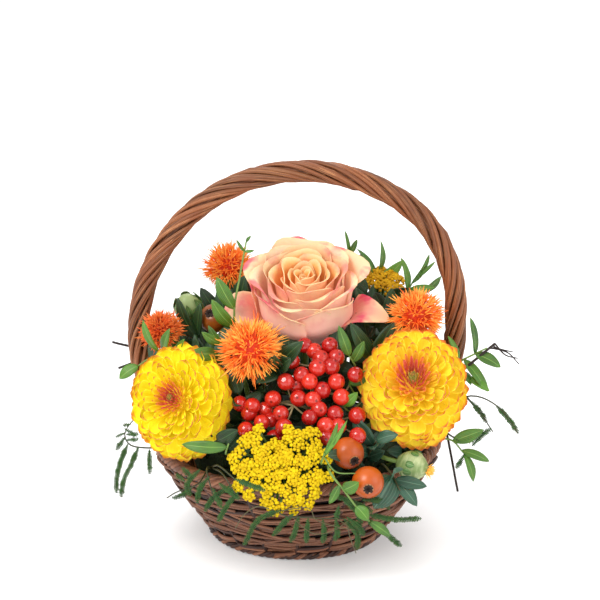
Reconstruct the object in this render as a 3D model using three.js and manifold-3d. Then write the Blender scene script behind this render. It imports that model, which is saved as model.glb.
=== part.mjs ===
// A flower basket: a round willow basket with a hoop handle, filled with cut flowers, fruit and leaves.
// Millimetres, +Z up. The origin is on the floor under the middle of the basket, and the front faces -Y.
import * as THREE from "three";
import { LoftGeometry } from "three/addons/geometries/LoftGeometry.js";
import { mergeVertices } from "three/addons/utils/BufferGeometryUtils.js";
import Module from "manifold-3d";

// Driving dimensions
const CLEARANCE = 0.3; // between pieces that rest on each other
const WELD = 1e-3; // points closer than this are one point
const COARSE = 1.22; // makes a coarser copy of a round piece enclose the fine one
const FOOT_RADIUS = 56; // outside of the wall where it stands on the floor
const FLARE = 0.64; // how far the wall leans out for each millimetre of height
const WALL_HEIGHT = 58;
const WALL_THICKNESS = 4.5;
const STAKES = 18; // upright stakes that the rods weave round
const WEAVE_ROWS = 6;
const WEAVE_RELIEF = 1.4; // how far a rod swings in and out of the wall
const BASE_THICKNESS = 6;
const BORDER_RADIUS = 91.5; // ring of the braided border
const BORDER_THICKNESS = 4.3; // radius of the braid
const HOOP_RODS = 6; // rods twisted into the handle
const HOOP_THICKNESS = 6.6; // radius of the handle's twisted part
const STICK_THICKNESS = 3.6; // radius of the ends inside the wall
const HOOP_LEAN = 4.5; // how far the top of the handle leans to the right
const HOOP_TWIST = 0.055; // radians of twist for each millimetre of handle
const LINER_THICKNESS = 1;
const LINER_GAP = 1.2; // between the film and the wall
const LINER_TOP = 64;
const FOAM_TOP = 76;
const STEM_END = 54; // height at which the cut stems end inside the foam
const ROSE_RADIUS = 36;
const DAHLIA_RADIUS = 36;
const BERRY_RADIUS = 5.3;
const HIP_RADIUS = 10;
const LEAF_THICKNESS = 1.2;

// Colours
const WILLOW = 0x5f3420;
const HANDLE_WILLOW = 0x7c4a2e;
const BLACK_FILM = 0x15161a;
const FOAM_GREEN = 0x2f4a28;
const STEM_GREEN = 0x4f7a33;
const LIGHT_LEAF = 0x5b9636;
const DARK_LEAF = 0x27482a;
const FERN_GREEN = 0x3d6b2c;
const TWIG_BROWN = 0x2a211c;
const PEACH = 0xf3b48a;
const YELLOW = 0xf2c21a;
const SAFFLOWER_ORANGE = 0xe2671c;
const BERRY_RED = 0xc81d1b;
const YARROW_YELLOW = 0xe3bb10;
const HIP_ORANGE = 0xc9641f;
const BUD_GREEN = 0xa9bb83;

const wasm = await Module();
wasm.setup();
const arrangement = new THREE.Group();
const taken = []; // every piece that is already in place, thicker by the clearance

// ---- small helpers ---------------------------------------------------------------------------

const v = (x, y, z) => new THREE.Vector3(x, y, z);
const vectors = (points) => points.map((p) => v(...p));
const turn = 2 * Math.PI;
const GOLDEN_ANGLE = Math.PI * (3 - Math.sqrt(5));

// A repeatable draw between -1 and 1.
function draw(seed) {
  const s = Math.sin(seed * 12.9898) * 43758.5453;
  return 2 * (s - Math.floor(s)) - 1;
}

function solid(shape) {
  const bare = new THREE.BufferGeometry();
  bare.setAttribute("position", shape.getAttribute("position"));
  bare.setIndex(shape.index);
  const merged = mergeVertices(bare, WELD);
  const mesh = new wasm.Mesh({
    numProp: 3,
    vertProperties: new Float32Array(merged.attributes.position.array),
    triVerts: new Uint32Array(merged.index.array),
  });
  return new wasm.Manifold(mesh);
}

const join = (solids) => wasm.Manifold.union(solids);

// A closed skin through rings of points, counterclockwise as seen from the last ring.
// An end whose ring has shrunk to a point or an edge needs no cap.
function skin(rings, { capStart = true, capEnd = false } = {}) {
  return solid(new LoftGeometry(rings, { capStart, capEnd }));
}

// A profile of [radius, height] pairs, closed on itself or ending on the axis, turned round +Z.
function turned(profile, segments) {
  const points = profile.map(([r, z]) => new THREE.Vector2(r, z));
  return new THREE.LatheGeometry(points, segments).rotateX(Math.PI / 2);
}

function largest(body) {
  const pieces = body.decompose();
  return pieces.reduce((a, b) => (b.volume() > a.volume() ? b : a));
}

function apart(a, b) {
  const [boxA, boxB] = [a.boundingBox(), b.boundingBox()];
  return [0, 1, 2].some((i) => boxA.min[i] > boxB.max[i] || boxB.min[i] > boxA.max[i]);
}

function toGeometry(body) {
  const mesh = body.getMesh();
  const geometry = new THREE.BufferGeometry();
  geometry.setAttribute("position", new THREE.BufferAttribute(mesh.vertProperties, 3));
  geometry.setIndex(new THREE.BufferAttribute(mesh.triVerts, 1));
  geometry.computeVertexNormals();
  return geometry;
}

// Puts a piece into the arrangement. build(grow) makes it in its own frame, thicker by grow.
// Where it would touch a piece that is already there, it is cut back to the clearance.
function place(name, colour, build, pose = new THREE.Matrix4(), roughness = 0.7) {
  let body = build(0).transform(pose.elements);
  for (const other of taken) {
    if (!apart(body, other)) body = body.subtract(other);
  }
  body = largest(solid(toGeometry(body)));
  taken.push(join([build(0), build(CLEARANCE)]).transform(pose.elements));
  const local = body.transform(pose.clone().invert().elements);
  const material = new THREE.MeshStandardMaterial({ color: colour, roughness, metalness: 0 });
  const mesh = new THREE.Mesh(toGeometry(local), material);
  mesh.name = name;
  pose.decompose(mesh.position, mesh.quaternion, mesh.scale);
  arrangement.add(mesh);
}

// A frame at a point whose +Z looks along an axis.
function facing(at, axis) {
  const quaternion = new THREE.Quaternion().setFromUnitVectors(v(0, 0, 1), axis.clone().normalize());
  return new THREE.Matrix4().compose(at, quaternion, v(1, 1, 1));
}

// The middle line of a stem through points, as straight pieces between its stations.
function middleLine(path, steps) {
  const stations = new THREE.CatmullRomCurve3(vectors(path)).getSpacedPoints(steps);
  return (t) => {
    const i = Math.min(Math.floor(t * steps), steps - 1);
    return stations[i].clone().lerp(stations[i + 1], t * steps - i);
  };
}

// A round stem through points, tapering from one radius to the other.
function stem(points, startRadius, endRadius, { sides = 4, steps = 4, grow = 0 } = {}) {
  const curve = new THREE.CatmullRomCurve3(vectors(points));
  const frames = curve.computeFrenetFrames(steps, false);
  const rings = [];
  for (let i = 0; i <= steps; i++) {
    const centre = curve.getPointAt(i / steps);
    const radius = THREE.MathUtils.lerp(startRadius, endRadius, i / steps) + grow;
    const ring = [];
    for (let j = 0; j < sides; j++) {
      const angle = (turn * j) / sides;
      const across = frames.normals[i].clone().multiplyScalar(radius * Math.cos(angle));
      const along = frames.binormals[i].clone().multiplyScalar(radius * Math.sin(angle));
      ring.push(centre.clone().add(across).add(along));
    }
    rings.push(ring);
  }
  return skin(rings, { capEnd: true });
}

// Width of a leaf along its length, as a share of its widest place.
const leafOutline = (t) => Math.sin(Math.PI * t ** 0.85) ** 0.8;

// A leaf blade from root to tip, folded a little along the midrib that runs below it.
function leaf(root, tip, width, { stations = [0.42], fold = 0.25, bow = 0.08, front = 0, grow = 0 } = {}) {
  const along = tip.clone().sub(root);
  const length = along.length();
  along.normalize();
  const outward = v(root.x + tip.x, root.y + tip.y - front, 60).normalize();
  const across = outward.clone().cross(along).normalize();
  const up = along.clone().cross(across).normalize();
  const ring = (t, halfWidth, halfThickness) => {
    const centre = root.clone().addScaledVector(along, t * length);
    centre.addScaledVector(up, bow * length * 4 * t * (1 - t));
    const lift = fold * halfWidth;
    return [
      centre.clone().addScaledVector(across, halfWidth).addScaledVector(up, lift),
      centre.clone().addScaledVector(across, -halfWidth).addScaledVector(up, lift),
      centre.clone().addScaledVector(up, -halfThickness),
    ];
  };
  const thick = LEAF_THICKNESS + grow;
  const rings = [ring(0, 0.8 + grow, 0.8 + grow)];
  for (const t of stations) rings.push(ring(t, (width / 2) * leafOutline(t) + grow, thick));
  rings.push(ring(1 + grow / length, 0, 0));
  return skin(rings);
}

// A leafy stem, which may fork into shoots. A leaf starts where the stem or a shoot passes nearest
// to its root, or, if it has none, at about 45 degrees behind the place nearest its tip.
function leafyStem({ path, leaves, shoots = [], radius = 1.3, width = 7 }) {
  const steps = 4;
  const sample = (points) => {
    const line = middleLine(points, steps);
    return Array.from({ length: 61 }, (_, i) => line(i / 60));
  };
  const main = sample(path);
  const all = [main, ...shoots.map(sample)].flat();
  const spacing = main[30].distanceTo(main[31]);
  const nearest = (samples, point) => {
    const gaps = samples.map((p) => p.distanceTo(point));
    const gap = Math.min(...gaps);
    return { index: gaps.indexOf(gap), gap };
  };
  const rootOf = (tip, root) => {
    if (root.length) return all[nearest(all, v(...root)).index];
    const { index, gap } = nearest(main, tip);
    return main[Math.max(index - Math.max(3, Math.round((0.8 * gap) / spacing)), 0)];
  };
  return (grow) => {
    const parts = [stem(path, radius, radius * 0.7, { sides: 3, steps, grow })];
    for (const shoot of shoots) parts.push(stem(shoot, 1, 0.8, { sides: 3, steps: 2, grow }));
    for (const [x, y, z, ownWidth, ...root] of leaves) {
      const tip = v(x, y, z);
      parts.push(leaf(rootOf(tip, root), tip, ownWidth ?? width, { front: 120, grow }));
    }
    return join(parts);
  };
}

// A bushy stem whose leaves turn round it by the golden angle from one to the next.
function bushyStem({ path, count, length, width, seed, from = 0.35 }) {
  const steps = 4;
  const line = middleLine(path, steps);
  return (grow) => {
    const parts = [stem(path, 1.4, 1, { sides: 3, steps, grow })];
    for (let i = 0; i < count; i++) {
      const t = from + (1 - from) * ((i + 0.5) / count);
      const root = line(t);
      const along = line(t + 0.02).sub(root).normalize();
      const side = v(0, 1, 0).cross(along).normalize();
      const other = along.clone().cross(side);
      const angle = GOLDEN_ANGLE * i + seed;
      const reach = length * (1 + 0.15 * draw(seed + i));
      const direction = along.clone().multiplyScalar(0.6);
      direction.addScaledVector(side, 0.8 * Math.cos(angle));
      direction.addScaledVector(other, 0.8 * Math.sin(angle));
      const tip = root.clone().addScaledVector(direction.normalize(), reach);
      parts.push(leaf(root, tip, width, { grow }));
    }
    return join(parts);
  };
}

// A fern frond: one thin arched blade, cut to its rib between the narrow leaflets of each pair.
function fern({ path, pairs, length, droop = 0.5, from = 0.3, taper = 0.5 }) {
  const curve = new THREE.CatmullRomCurve3(vectors(path));
  return (grow) => {
    const rib = LEAF_THICKNESS + grow;
    const across = v(0, 0, 0);
    const ring = (t, reach, forward) => {
      const centre = curve.getPointAt(t);
      const along = curve.getTangentAt(t);
      const next = v(centre.x, centre.y, 40).cross(along).normalize();
      across.copy(next.dot(across) < 0 ? next.negate() : next); // the blade never turns over
      const up = along.clone().cross(across);
      const edge = (hand) => {
        const point = centre.clone().addScaledVector(across, hand * reach).addScaledVector(along, forward);
        return point.addScaledVector(v(0, 0, -1), forward * droop);
      };
      const below = centre.clone().addScaledVector(up, -rib);
      return [edge(1), centre.clone().addScaledVector(up, reach > 0 ? grow : 0), edge(-1), below];
    };
    const rings = [ring(0, rib, 0)];
    for (let i = 0; i < pairs; i++) {
      const step = (1 - from) / pairs;
      const t = from + step * i;
      const reach = length * THREE.MathUtils.lerp(1, taper, i / pairs) * Math.min(1, 0.6 + i * 0.3);
      rings.push(ring(t, rib, 0), ring(t + step * 0.5, reach, reach * 0.4));
    }
    rings.push(ring(1, 0, 0));
    return skin(rings);
  };
}

// A dome covered by small florets: every second point of each ring stands up as a floret's tip.
// at(share, angle) gives the dome's surface, and its florets rise along the ring's own normal.
function studdedDome({ rings, around, at, height, back }) {
  const middle = at(0, 0);
  const list = [Array.from({ length: around }, () => middle.clone())];
  for (let i = 1; i <= rings; i++) {
    const ring = [];
    for (let j = 0; j < around; j++) {
      const angle = (turn * (j + 0.15 * draw(i * around + j))) / around;
      const share = (i - 0.4 + 0.15 * draw(j * rings + i)) / rings;
      const point = at(share, angle);
      const normal = point.clone().sub(back).normalize();
      const up = (i + j) % 2 === 0 ? height(share) : 0;
      ring.push(point.addScaledVector(normal, up));
    }
    list.push(ring);
  }
  list.push(Array.from({ length: around }, () => back.clone()));
  return skin(list.reverse(), { capStart: false });
}

// ---- the basket ------------------------------------------------------------------------------

const wallRadius = (z) => FOOT_RADIUS + FLARE * z;

// The wall's rods pass in front of one stake and behind the next, and swap in the next row.
function woven(point, rowHeight) {
  const angle = Math.atan2(point.y, point.x);
  const row = Math.floor(point.z / rowHeight);
  const swing = Math.cos((STAKES / 2) * angle + Math.PI * row);
  const crown = Math.sin((Math.PI * (point.z - row * rowHeight)) / rowHeight);
  return WEAVE_RELIEF * (swing * 0.75 + crown) * Math.min(1, crown * 2);
}

place("basket_base", WILLOW, (grow) => {
  const inner = wallRadius(0) - WALL_THICKNESS - CLEARANCE;
  const upper = inner + FLARE * BASE_THICKNESS;
  const top = BASE_THICKNESS + grow;
  return solid(turned([[0, 0], [inner, 0], [upper, BASE_THICKNESS], [upper - 1, top], [0, top]], 24));
});

place("basket_wall", WILLOW, (grow) => {
  const rowHeight = WALL_HEIGHT / WEAVE_ROWS;
  const rise = WEAVE_RELIEF * 1.75 * Math.sign(grow) + grow;
  const profile = [];
  for (let row = 0; row < WEAVE_ROWS; row++) {
    profile.push([wallRadius(row * rowHeight) + rise, row * rowHeight]);
    profile.push([wallRadius((row + 0.5) * rowHeight) + rise, (row + 0.5) * rowHeight]);
  }
  profile.push([wallRadius(WALL_HEIGHT) + rise, WALL_HEIGHT + grow]);
  profile.push([wallRadius(WALL_HEIGHT) - WALL_THICKNESS - grow, WALL_HEIGHT + grow]);
  profile.push([wallRadius(0) - WALL_THICKNESS - grow, 0]);
  profile.push(profile[0]);
  const geometry = turned(profile, STAKES * 2);
  if (grow === 0) {
    const points = geometry.attributes.position;
    const point = v(0, 0, 0);
    for (let i = 0; i < points.count; i++) {
      point.fromBufferAttribute(points, i);
      const radius = Math.hypot(point.x, point.y);
      const outside = radius > wallRadius(point.z) - 1;
      const atEdge = point.z < 0.1 || point.z > WALL_HEIGHT - 0.1;
      if (!outside || atEdge) continue;
      const scale = (radius + woven(point, rowHeight)) / radius;
      points.setXYZ(i, point.x * scale, point.y * scale, point.z);
    }
  }
  return solid(geometry);
});

place("basket_border", WILLOW, (grow) => {
  const sides = 6;
  const steps = 36;
  const ring = new THREE.TorusGeometry(BORDER_RADIUS, BORDER_THICKNESS + grow, sides, steps);
  const points = ring.attributes.position;
  const point = v(0, 0, 0);
  for (let i = 0; i < points.count; i++) {
    point.fromBufferAttribute(points, i);
    const angle = Math.atan2(point.y, point.x);
    const middle = v(Math.cos(angle), Math.sin(angle), 0).multiplyScalar(BORDER_RADIUS);
    const out = point.clone().sub(middle);
    const around = Math.atan2(out.z, Math.hypot(point.x, point.y) - BORDER_RADIUS);
    const plait = grow > 0 ? 1 : 0.9 + 0.1 * Math.cos(3 * around + STAKES * angle);
    point.copy(middle).addScaledVector(out, plait);
    points.setXYZ(i, point.x, point.y, point.z);
  }
  return solid(ring.translate(0, 0, WALL_HEIGHT + CLEARANCE + BORDER_THICKNESS));
});

// The hoop's middle line: from inside the wall, up over the top and down inside the wall again.
const hoopSide = [
  [58.5, 18],
  [69.5, 40],
  [79, 62],
  [90.5, 85],
  [99.5, 105],
  [103.5, 138],
  [97.5, 177],
  [76, 213],
  [41, 236.5],
];
const lean = (z) => HOOP_LEAN * THREE.MathUtils.smoothstep(z, 150, 200);
const hoopPath = new THREE.CatmullRomCurve3([
  ...hoopSide.map(([x, z]) => v(lean(z) - x, 0, z)),
  v(HOOP_LEAN, 0, 244.5),
  ...hoopSide.toReversed().map(([x, z]) => v(lean(z) + x, 0, z)),
]);

place("handle", HANDLE_WILLOW, (grow) => {
  const steps = grow > 0 ? 24 : 32;
  const sides = grow > 0 ? HOOP_RODS : HOOP_RODS * 2;
  const length = hoopPath.getLength();
  const rings = [];
  for (let i = 0; i <= steps; i++) {
    const share = i / steps;
    const centre = hoopPath.getPointAt(share);
    const along = hoopPath.getTangentAt(share);
    const across = v(0, 1, 0);
    const outward = along.clone().cross(across);
    const above = THREE.MathUtils.smoothstep(centre.z, 25, 80);
    const thick = THREE.MathUtils.lerp(STICK_THICKNESS, HOOP_THICKNESS, above);
    const ring = [];
    for (let j = 0; j < sides; j++) {
      const angle = (turn * j) / sides + share * length * HOOP_TWIST;
      const groove = j % 2 === 1 && grow === 0 ? 1.5 * above : 0;
      const radius = (thick + 0.5 - groove + grow) * (grow > 0 ? COARSE : 1);
      const point = centre.clone().addScaledVector(across, radius * Math.cos(angle));
      ring.push(point.addScaledVector(outward, radius * Math.sin(angle)));
    }
    rings.push(ring);
  }
  return skin(rings, { capEnd: true });
});

place("liner", BLACK_FILM, (grow) => {
  const outer = (z) => wallRadius(z) - WALL_THICKNESS - LINER_GAP + grow;
  const inner = (z) => outer(z) - LINER_THICKNESS - 2 * grow;
  const bottom = BASE_THICKNESS + CLEARANCE - grow;
  const floor = bottom + LINER_THICKNESS + 2 * grow;
  const top = LINER_TOP - 6 + grow;
  const profile = [[0, bottom], [outer(bottom), bottom], [outer(top), top]];
  profile.push([inner(top), top], [inner(floor), floor], [0, floor]);
  return solid(turned(profile, 24));
});

// ---- flowers ---------------------------------------------------------------------------------

// One rose petal wrapped round the flower's axis, from its foot on the heart to its rolled lip.
function rosePetal(layer, angle, grow) {
  const across = layer.plain ? 2 : 3;
  const thick = 1 + grow * 2;
  const stations = layer.plain ? [0, 0.5, 1] : [0, 0.4, 0.8, 1];
  const rings = stations.map((s) => {
    const swell = Math.sin((Math.min(s, 0.5) / 0.5) * (Math.PI / 2));
    const past = Math.max(s - 0.4, 0) / 0.6;
    const flare = (layer.lip - layer.belly) * past ** 2;
    const radius = THREE.MathUtils.lerp(layer.foot, layer.belly, swell) + flare;
    const roll = layer.roll * Math.max(s - 0.7, 0) ** 2;
    const height = THREE.MathUtils.lerp(layer.rise, layer.top, s ** 0.85) - roll;
    const spread = layer.half * (0.62 + 0.38 * Math.sin(Math.PI * Math.min(0.15 + s * 0.62, 1)));
    const narrow = s === 1 ? 0.62 : 1;
    const ring = [];
    for (const face of [1, -1]) {
      for (let i = 0; i <= across; i++) {
        const share = face * (1 - (2 * i) / across);
        const theta = angle - share * spread * narrow;
        const tilt = 1.5 * share * Math.min(1, 0.4 + s * 2);
        const r = radius + tilt + (s === 1 ? 0 : (face * thick) / 2);
        ring.push(v(r * Math.cos(theta), r * Math.sin(theta), height - 1.5 * share * share * s));
      }
    }
    return ring;
  });
  return skin(rings);
}

const roseLayers = [
  { count: 3, foot: 4.4, belly: 8, lip: 7, rise: 24, top: 55, half: 1.1, roll: 0, plain: true },
  { count: 4, foot: 7, belly: 14, lip: 14.5, rise: 18, top: 55, half: 0.88, roll: 10, plain: true },
  { count: 4, foot: 9.5, belly: 20, lip: 23, rise: 12, top: 53, half: 0.9, roll: 25 },
  { count: 5, foot: 12, belly: 26.5, lip: ROSE_RADIUS - 3, rise: 7, top: 47, half: 0.73, roll: 55 },
  { angles: [-0.16, 3.35, 1.5], foot: 14, belly: 30, lip: 46, rise: 5, top: 36, half: 0.5, roll: 38 },
];

const ROSE_AT = v(5, 1, 128);
const ROSE_AXIS = v(0, -0.21, 0.978);

place(
  "rose_bloom",
  PEACH,
  (grow) => {
    const heart = [[0, -4], [10, -3], [15.5, 3], [13, 8], [4.8, 28], [3.2, 48], [0, 52]];
    const parts = [solid(turned(heart.map(([r, z]) => [r && r + grow, z]), 9))];
    roseLayers.forEach((layer, k) => {
      const even = Array.from({ length: layer.count }, (_, i) => (turn * i) / layer.count + 0.7 * k + 0.35);
      for (const angle of layer.angles ?? even) parts.push(rosePetal(layer, angle, grow));
    });
    return join(parts);
  },
  facing(ROSE_AT, ROSE_AXIS),
);

// A ball dahlia: whorls of florets, one behind the other, each a toothed collar whose teeth are
// folded florets. The heart's are small and upright, the middle ones stand out, the last bend back.
function dahlia(grow) {
  const florets = 12;
  const whorls = 6;
  const heart = v(0, 0, 15 + grow);
  const rings = [Array.from({ length: florets * 2 }, () => heart.clone())];
  for (let k = 0; k < whorls; k++) {
    const share = k / (whorls - 1);
    const polar = THREE.MathUtils.lerp(0.32, 1.95, share ** 0.9);
    const reach = THREE.MathUtils.lerp(17, DAHLIA_RADIUS, Math.min(1, share * 1.5) ** 0.7) + grow;
    const throat = reach * THREE.MathUtils.lerp(0.6, 0.62, share);
    const whorl = (radius, depth, atTip, atGap) =>
      Array.from({ length: florets * 2 }, (_, j) => {
        const isTip = (j + k) % 2 === 0;
        const r = radius * (isTip ? atTip : atGap);
        const angle = (turn * j) / (florets * 2);
        const z = r * 0.68 * Math.cos(polar) - depth + (isTip ? 0 : 1.2);
        return v(r * Math.sin(polar) * Math.cos(angle), r * Math.sin(polar) * Math.sin(angle), z);
      });
    if (k > 0) rings.push(whorl(throat, 0, 0.96, 1));
    rings.push(whorl(reach, 0, 1, 0.8));
    rings.push(whorl(reach * 0.86, 1.6 + grow, 0.9, 0.8));
  }
  rings.push(Array.from({ length: florets * 2 }, () => v(0, 0, -12 - grow)));
  return skin(rings.reverse(), { capStart: false });
}

// The blooms are a little taller than wide: stretch says how much along the arrangement's x, y and z.
const dahlias = {
  left: { at: v(-73, -55, 108), axis: v(-0.3, -0.85, 0.44), stretch: v(0.9, 1, 1.04), foot: [-38, -30] },
  right: { at: v(74, -50, 115), axis: v(-0.068, -0.774, 0.629), stretch: v(0.95, 1, 1.07), foot: [42, -28] },
};
for (const [side, { at, axis, stretch }] of Object.entries(dahlias)) {
  const lean = facing(v(0, 0, 0), axis);
  const shape = lean.clone().invert().scale(stretch).multiply(lean);
  place(`dahlia_${side}_bloom`, YELLOW, (grow) => dahlia(grow).transform(shape.elements), facing(at, axis));
}

// A safflower: a tuft of thin florets over a round head of green bracts.
const safflowers = [
  { at: v(-45, 30, 171), axis: v(-0.25, -0.25, 0.93), radius: 16.5, foot: [-22, 15] },
  { at: v(-87, -18, 143), axis: v(-0.45, -0.45, 0.77), radius: 13.5, foot: [-46, -8] },
  { at: v(-29, -52, 142), axis: v(-0.15, -0.8, 0.58), radius: 20.5, foot: [-15, -30] },
  { at: v(77, -18, 153), axis: v(0.35, -0.5, 0.79), radius: 18, foot: [40, -8] },
];

safflowers.forEach(({ at, axis, radius }, index) => {
  const head = facing(at, axis);
  place(
    `safflower_${index + 1}_florets`,
    SAFFLOWER_ORANGE,
    (grow) =>
      studdedDome({
        rings: 6,
        around: 14,
        at: (share, angle) => {
          const polar = 2.1 * share;
          const ball = radius * 0.5 + grow;
          return v(Math.sin(polar) * Math.cos(angle), Math.sin(polar) * Math.sin(angle), Math.cos(polar))
            .multiplyScalar(ball);
        },
        height: (share) => radius * (0.56 - 0.1 * share),
        back: v(0, 0, -radius * 0.42),
      }),
    head,
  );
});

// The yarrow's flat head of tiny florets. lobes(angle) is its outline's reach from the middle.
function yarrowHead({ rings, around, lobes, depth, bump }) {
  return (grow) =>
    studdedDome({
      rings,
      around,
      at: (share, angle) => {
        const reach = (lobes(angle) + grow) * Math.min(share, 1);
        return v(reach * Math.cos(angle), reach * Math.sin(angle), depth * (1 - share ** 2.5) + grow);
      },
      height: () => bump,
      back: v(0, 0, -depth * 0.6),
    });
}

// Reach of the front head: a wide heart with a notch at its top.
function heartShape(angle) {
  const fromNotch = Math.atan2(Math.sin(angle - 1.72), Math.cos(angle - 1.72));
  return 31.5 + 1.5 * Math.cos(2 * angle) - 17 * Math.exp(-((fromNotch / 0.32) ** 2));
}

const YARROW_FRONT = { at: v(-11, -97, 81.5), axis: v(0, -0.9, 0.42) };
const YARROW_BACK = { at: v(58, 44, 157), axis: v(0.1, -0.3, 0.9) };
place(
  "yarrow_front_head",
  YARROW_YELLOW,
  yarrowHead({ rings: 6, around: 28, lobes: heartShape, depth: 6, bump: 3 }),
  facing(YARROW_FRONT.at, YARROW_FRONT.axis),
);
place(
  "yarrow_back_head",
  YARROW_YELLOW,
  yarrowHead({ rings: 4, around: 18, lobes: () => 14, depth: 4, bump: 2.4 }),
  facing(YARROW_BACK.at, YARROW_BACK.axis),
);

// A rose hip: a round fruit whose tip carries the dried star of its flower.
function hip(grow) {
  const points = 8;
  const around = (radius, z, star = 0) =>
    Array.from({ length: points }, (_, j) => {
      const r = radius + grow + (j % 2 ? -star : star);
      return v(r * Math.cos((turn * j) / points), r * Math.sin((turn * j) / points), z);
    });
  const rings = [0.3, 0.75, 1.2, 1.65, 2.15, 2.7].map((polar) => {
    return around(HIP_RADIUS * Math.sin(Math.PI - polar), -HIP_RADIUS * Math.cos(polar));
  });
  rings.push(around(2.2, HIP_RADIUS + 0.2), around(4, HIP_RADIUS + 2.4, 1.4));
  rings.push(Array.from({ length: points }, () => v(0, 0, HIP_RADIUS + 0.8)));
  return skin(rings);
}

const hips = [
  { name: "hip_upper", at: v(32, -84, 85), axis: v(0.38, -0.9, -0.17) },
  { name: "hip_lower", at: v(44, -100, 72), axis: v(0, -1, -0.05) },
  { name: "hip_left", at: v(-54, -5, 147), axis: v(-0.2, -0.6, 0.5) },
];
for (const { name, at, axis } of hips) place(name, HIP_ORANGE, hip, facing(at, axis));

// A round bud wrapped in overlapping scales.
function bud(radius, length) {
  return (grow) =>
    studdedDome({
      rings: 5,
      around: 12,
      at: (share, angle) => {
        const polar = Math.PI * 0.88 * share;
        const r = (radius + grow) * Math.sin(polar);
        return v(r * Math.cos(angle), r * Math.sin(angle), (length / 2 + grow) * Math.cos(polar));
      },
      height: () => 1,
      back: v(0, 0, -length / 2),
    });
}

const BUD_LEFT = { at: v(-71, 9, 150), axis: v(-0.2, -0.5, 0.8) };
const BUD_RIGHT = { at: v(73, -76, 73), axis: v(0.8, -0.35, -0.12) };
place("bud_left", BUD_GREEN, bud(10, 22), facing(BUD_LEFT.at, BUD_LEFT.axis));
place(
  "bud_right",
  BUD_GREEN,
  (grow) => {
    const tuft = new THREE.ConeGeometry(3 + grow, 11, 5).rotateX(Math.PI / 2).translate(0, 0, 13);
    return join([bud(10, 20)(grow), solid(tuft)]);
  },
  facing(BUD_RIGHT.at, BUD_RIGHT.axis),
);

// The berry bunch: berries on short stalks that spring one after another from the branches of a stem.
const BERRY_STEM = [[8, -26, STEM_END], [9, -34, 82], [10, -42, 108]];
const berryBranches = [
  { end: [12, -44, 128], berries: [[5, -44, 136], [20, -47, 138], [14, -52, 136], [26, -50, 133]] },
  { end: [9, -52, 116], berries: [[4, -60, 126], [17, -62, 126], [-9, -60, 121], [-4, -49, 132]] },
  { end: [28, -52, 110], berries: [[37, -55, 128], [28, -64, 117], [39, -66, 106]] },
  { end: [22, -60, 98], berries: [[20, -72, 109], [31, -74, 100], [19, -80, 98], [40, -78, 94]] },
  { end: [-2, -56, 106], berries: [[6, -70, 114], [-5, -70, 108], [7, -78, 101], [-9, -74, 98]] },
  { end: [-22, -54, 100], berries: [[-15, -62, 112], [-27, -60, 109], [-38, -60, 106], [-28, -71, 97]] },
];

// A berry and its stalk in one skin of five sides, from the branch to the berry's far end.
function stalkedBerry(root, centre, grow) {
  const along = centre.clone().sub(root).normalize();
  const across = v(along.z, 0, -along.x).normalize();
  const other = along.clone().cross(across);
  const size = BERRY_RADIUS + grow;
  const ring = (middle, radius) =>
    [0, 1, 2, 3, 4].map((i) => {
      const angle = (turn * i) / 5;
      const point = middle.clone().addScaledVector(across, radius * Math.cos(angle));
      return point.addScaledVector(other, radius * Math.sin(angle));
    });
  const beyond = (share) => centre.clone().addScaledVector(along, share * size);
  return skin([
    ring(root, 0.7 + grow),
    ring(beyond(-1), 0.7 + grow),
    ring(beyond(-0.45), size * 0.95),
    ring(beyond(0.45), size * 0.95),
    ring(beyond(1.05), 0),
  ]);
}

place("berry_bunch", BERRY_RED, (grow) => {
  const parts = [stem(BERRY_STEM, 2.4, 1.8, { grow })];
  const fork = BERRY_STEM[2];
  for (const { end, berries } of berryBranches) {
    parts.push(stem([fork, end], 1.3, 1.1, { steps: 1, grow }));
    berries.forEach((berry, i) => {
      const spring = v(...fork).lerp(v(...end), 1 - 0.16 * i);
      parts.push(stalkedBerry(spring, v(...berry), grow));
    });
  }
  return join(parts);
});

// The green head under a safflower's tuft, covered by bracts.
function bractHead(radius) {
  const size = radius * 0.45;
  const neck = -radius * 0.42 - CLEARANCE;
  return (grow) =>
    studdedDome({
      rings: 3,
      around: 10,
      at: (share, angle) => {
        const r = size * Math.sin(Math.PI * (0.12 + 0.7 * share)) + grow;
        return v(r * Math.cos(angle), -r * Math.sin(angle), neck - size * 1.7 * (1 - share));
      },
      height: () => 1.4,
      back: v(0, 0, neck),
    });
}

// ---- stems -----------------------------------------------------------------------------------

// A cut stem from inside the foam to the back of a bloom, which it enters along the bloom's axis.
function cutStem(name, foot, at, axis, { radius = 2, back = 10, run = 22 } = {}) {
  const [x, y] = foot;
  const end = at.clone().addScaledVector(axis, -back);
  const bend = at.clone().addScaledVector(axis, -run);
  const path = [[x, y, STEM_END], [x, y, FOAM_TOP], bend.toArray(), end.toArray()];
  place(name, STEM_GREEN, (grow) => stem(path, radius, radius * 0.85, { steps: 3, grow }));
}

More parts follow.
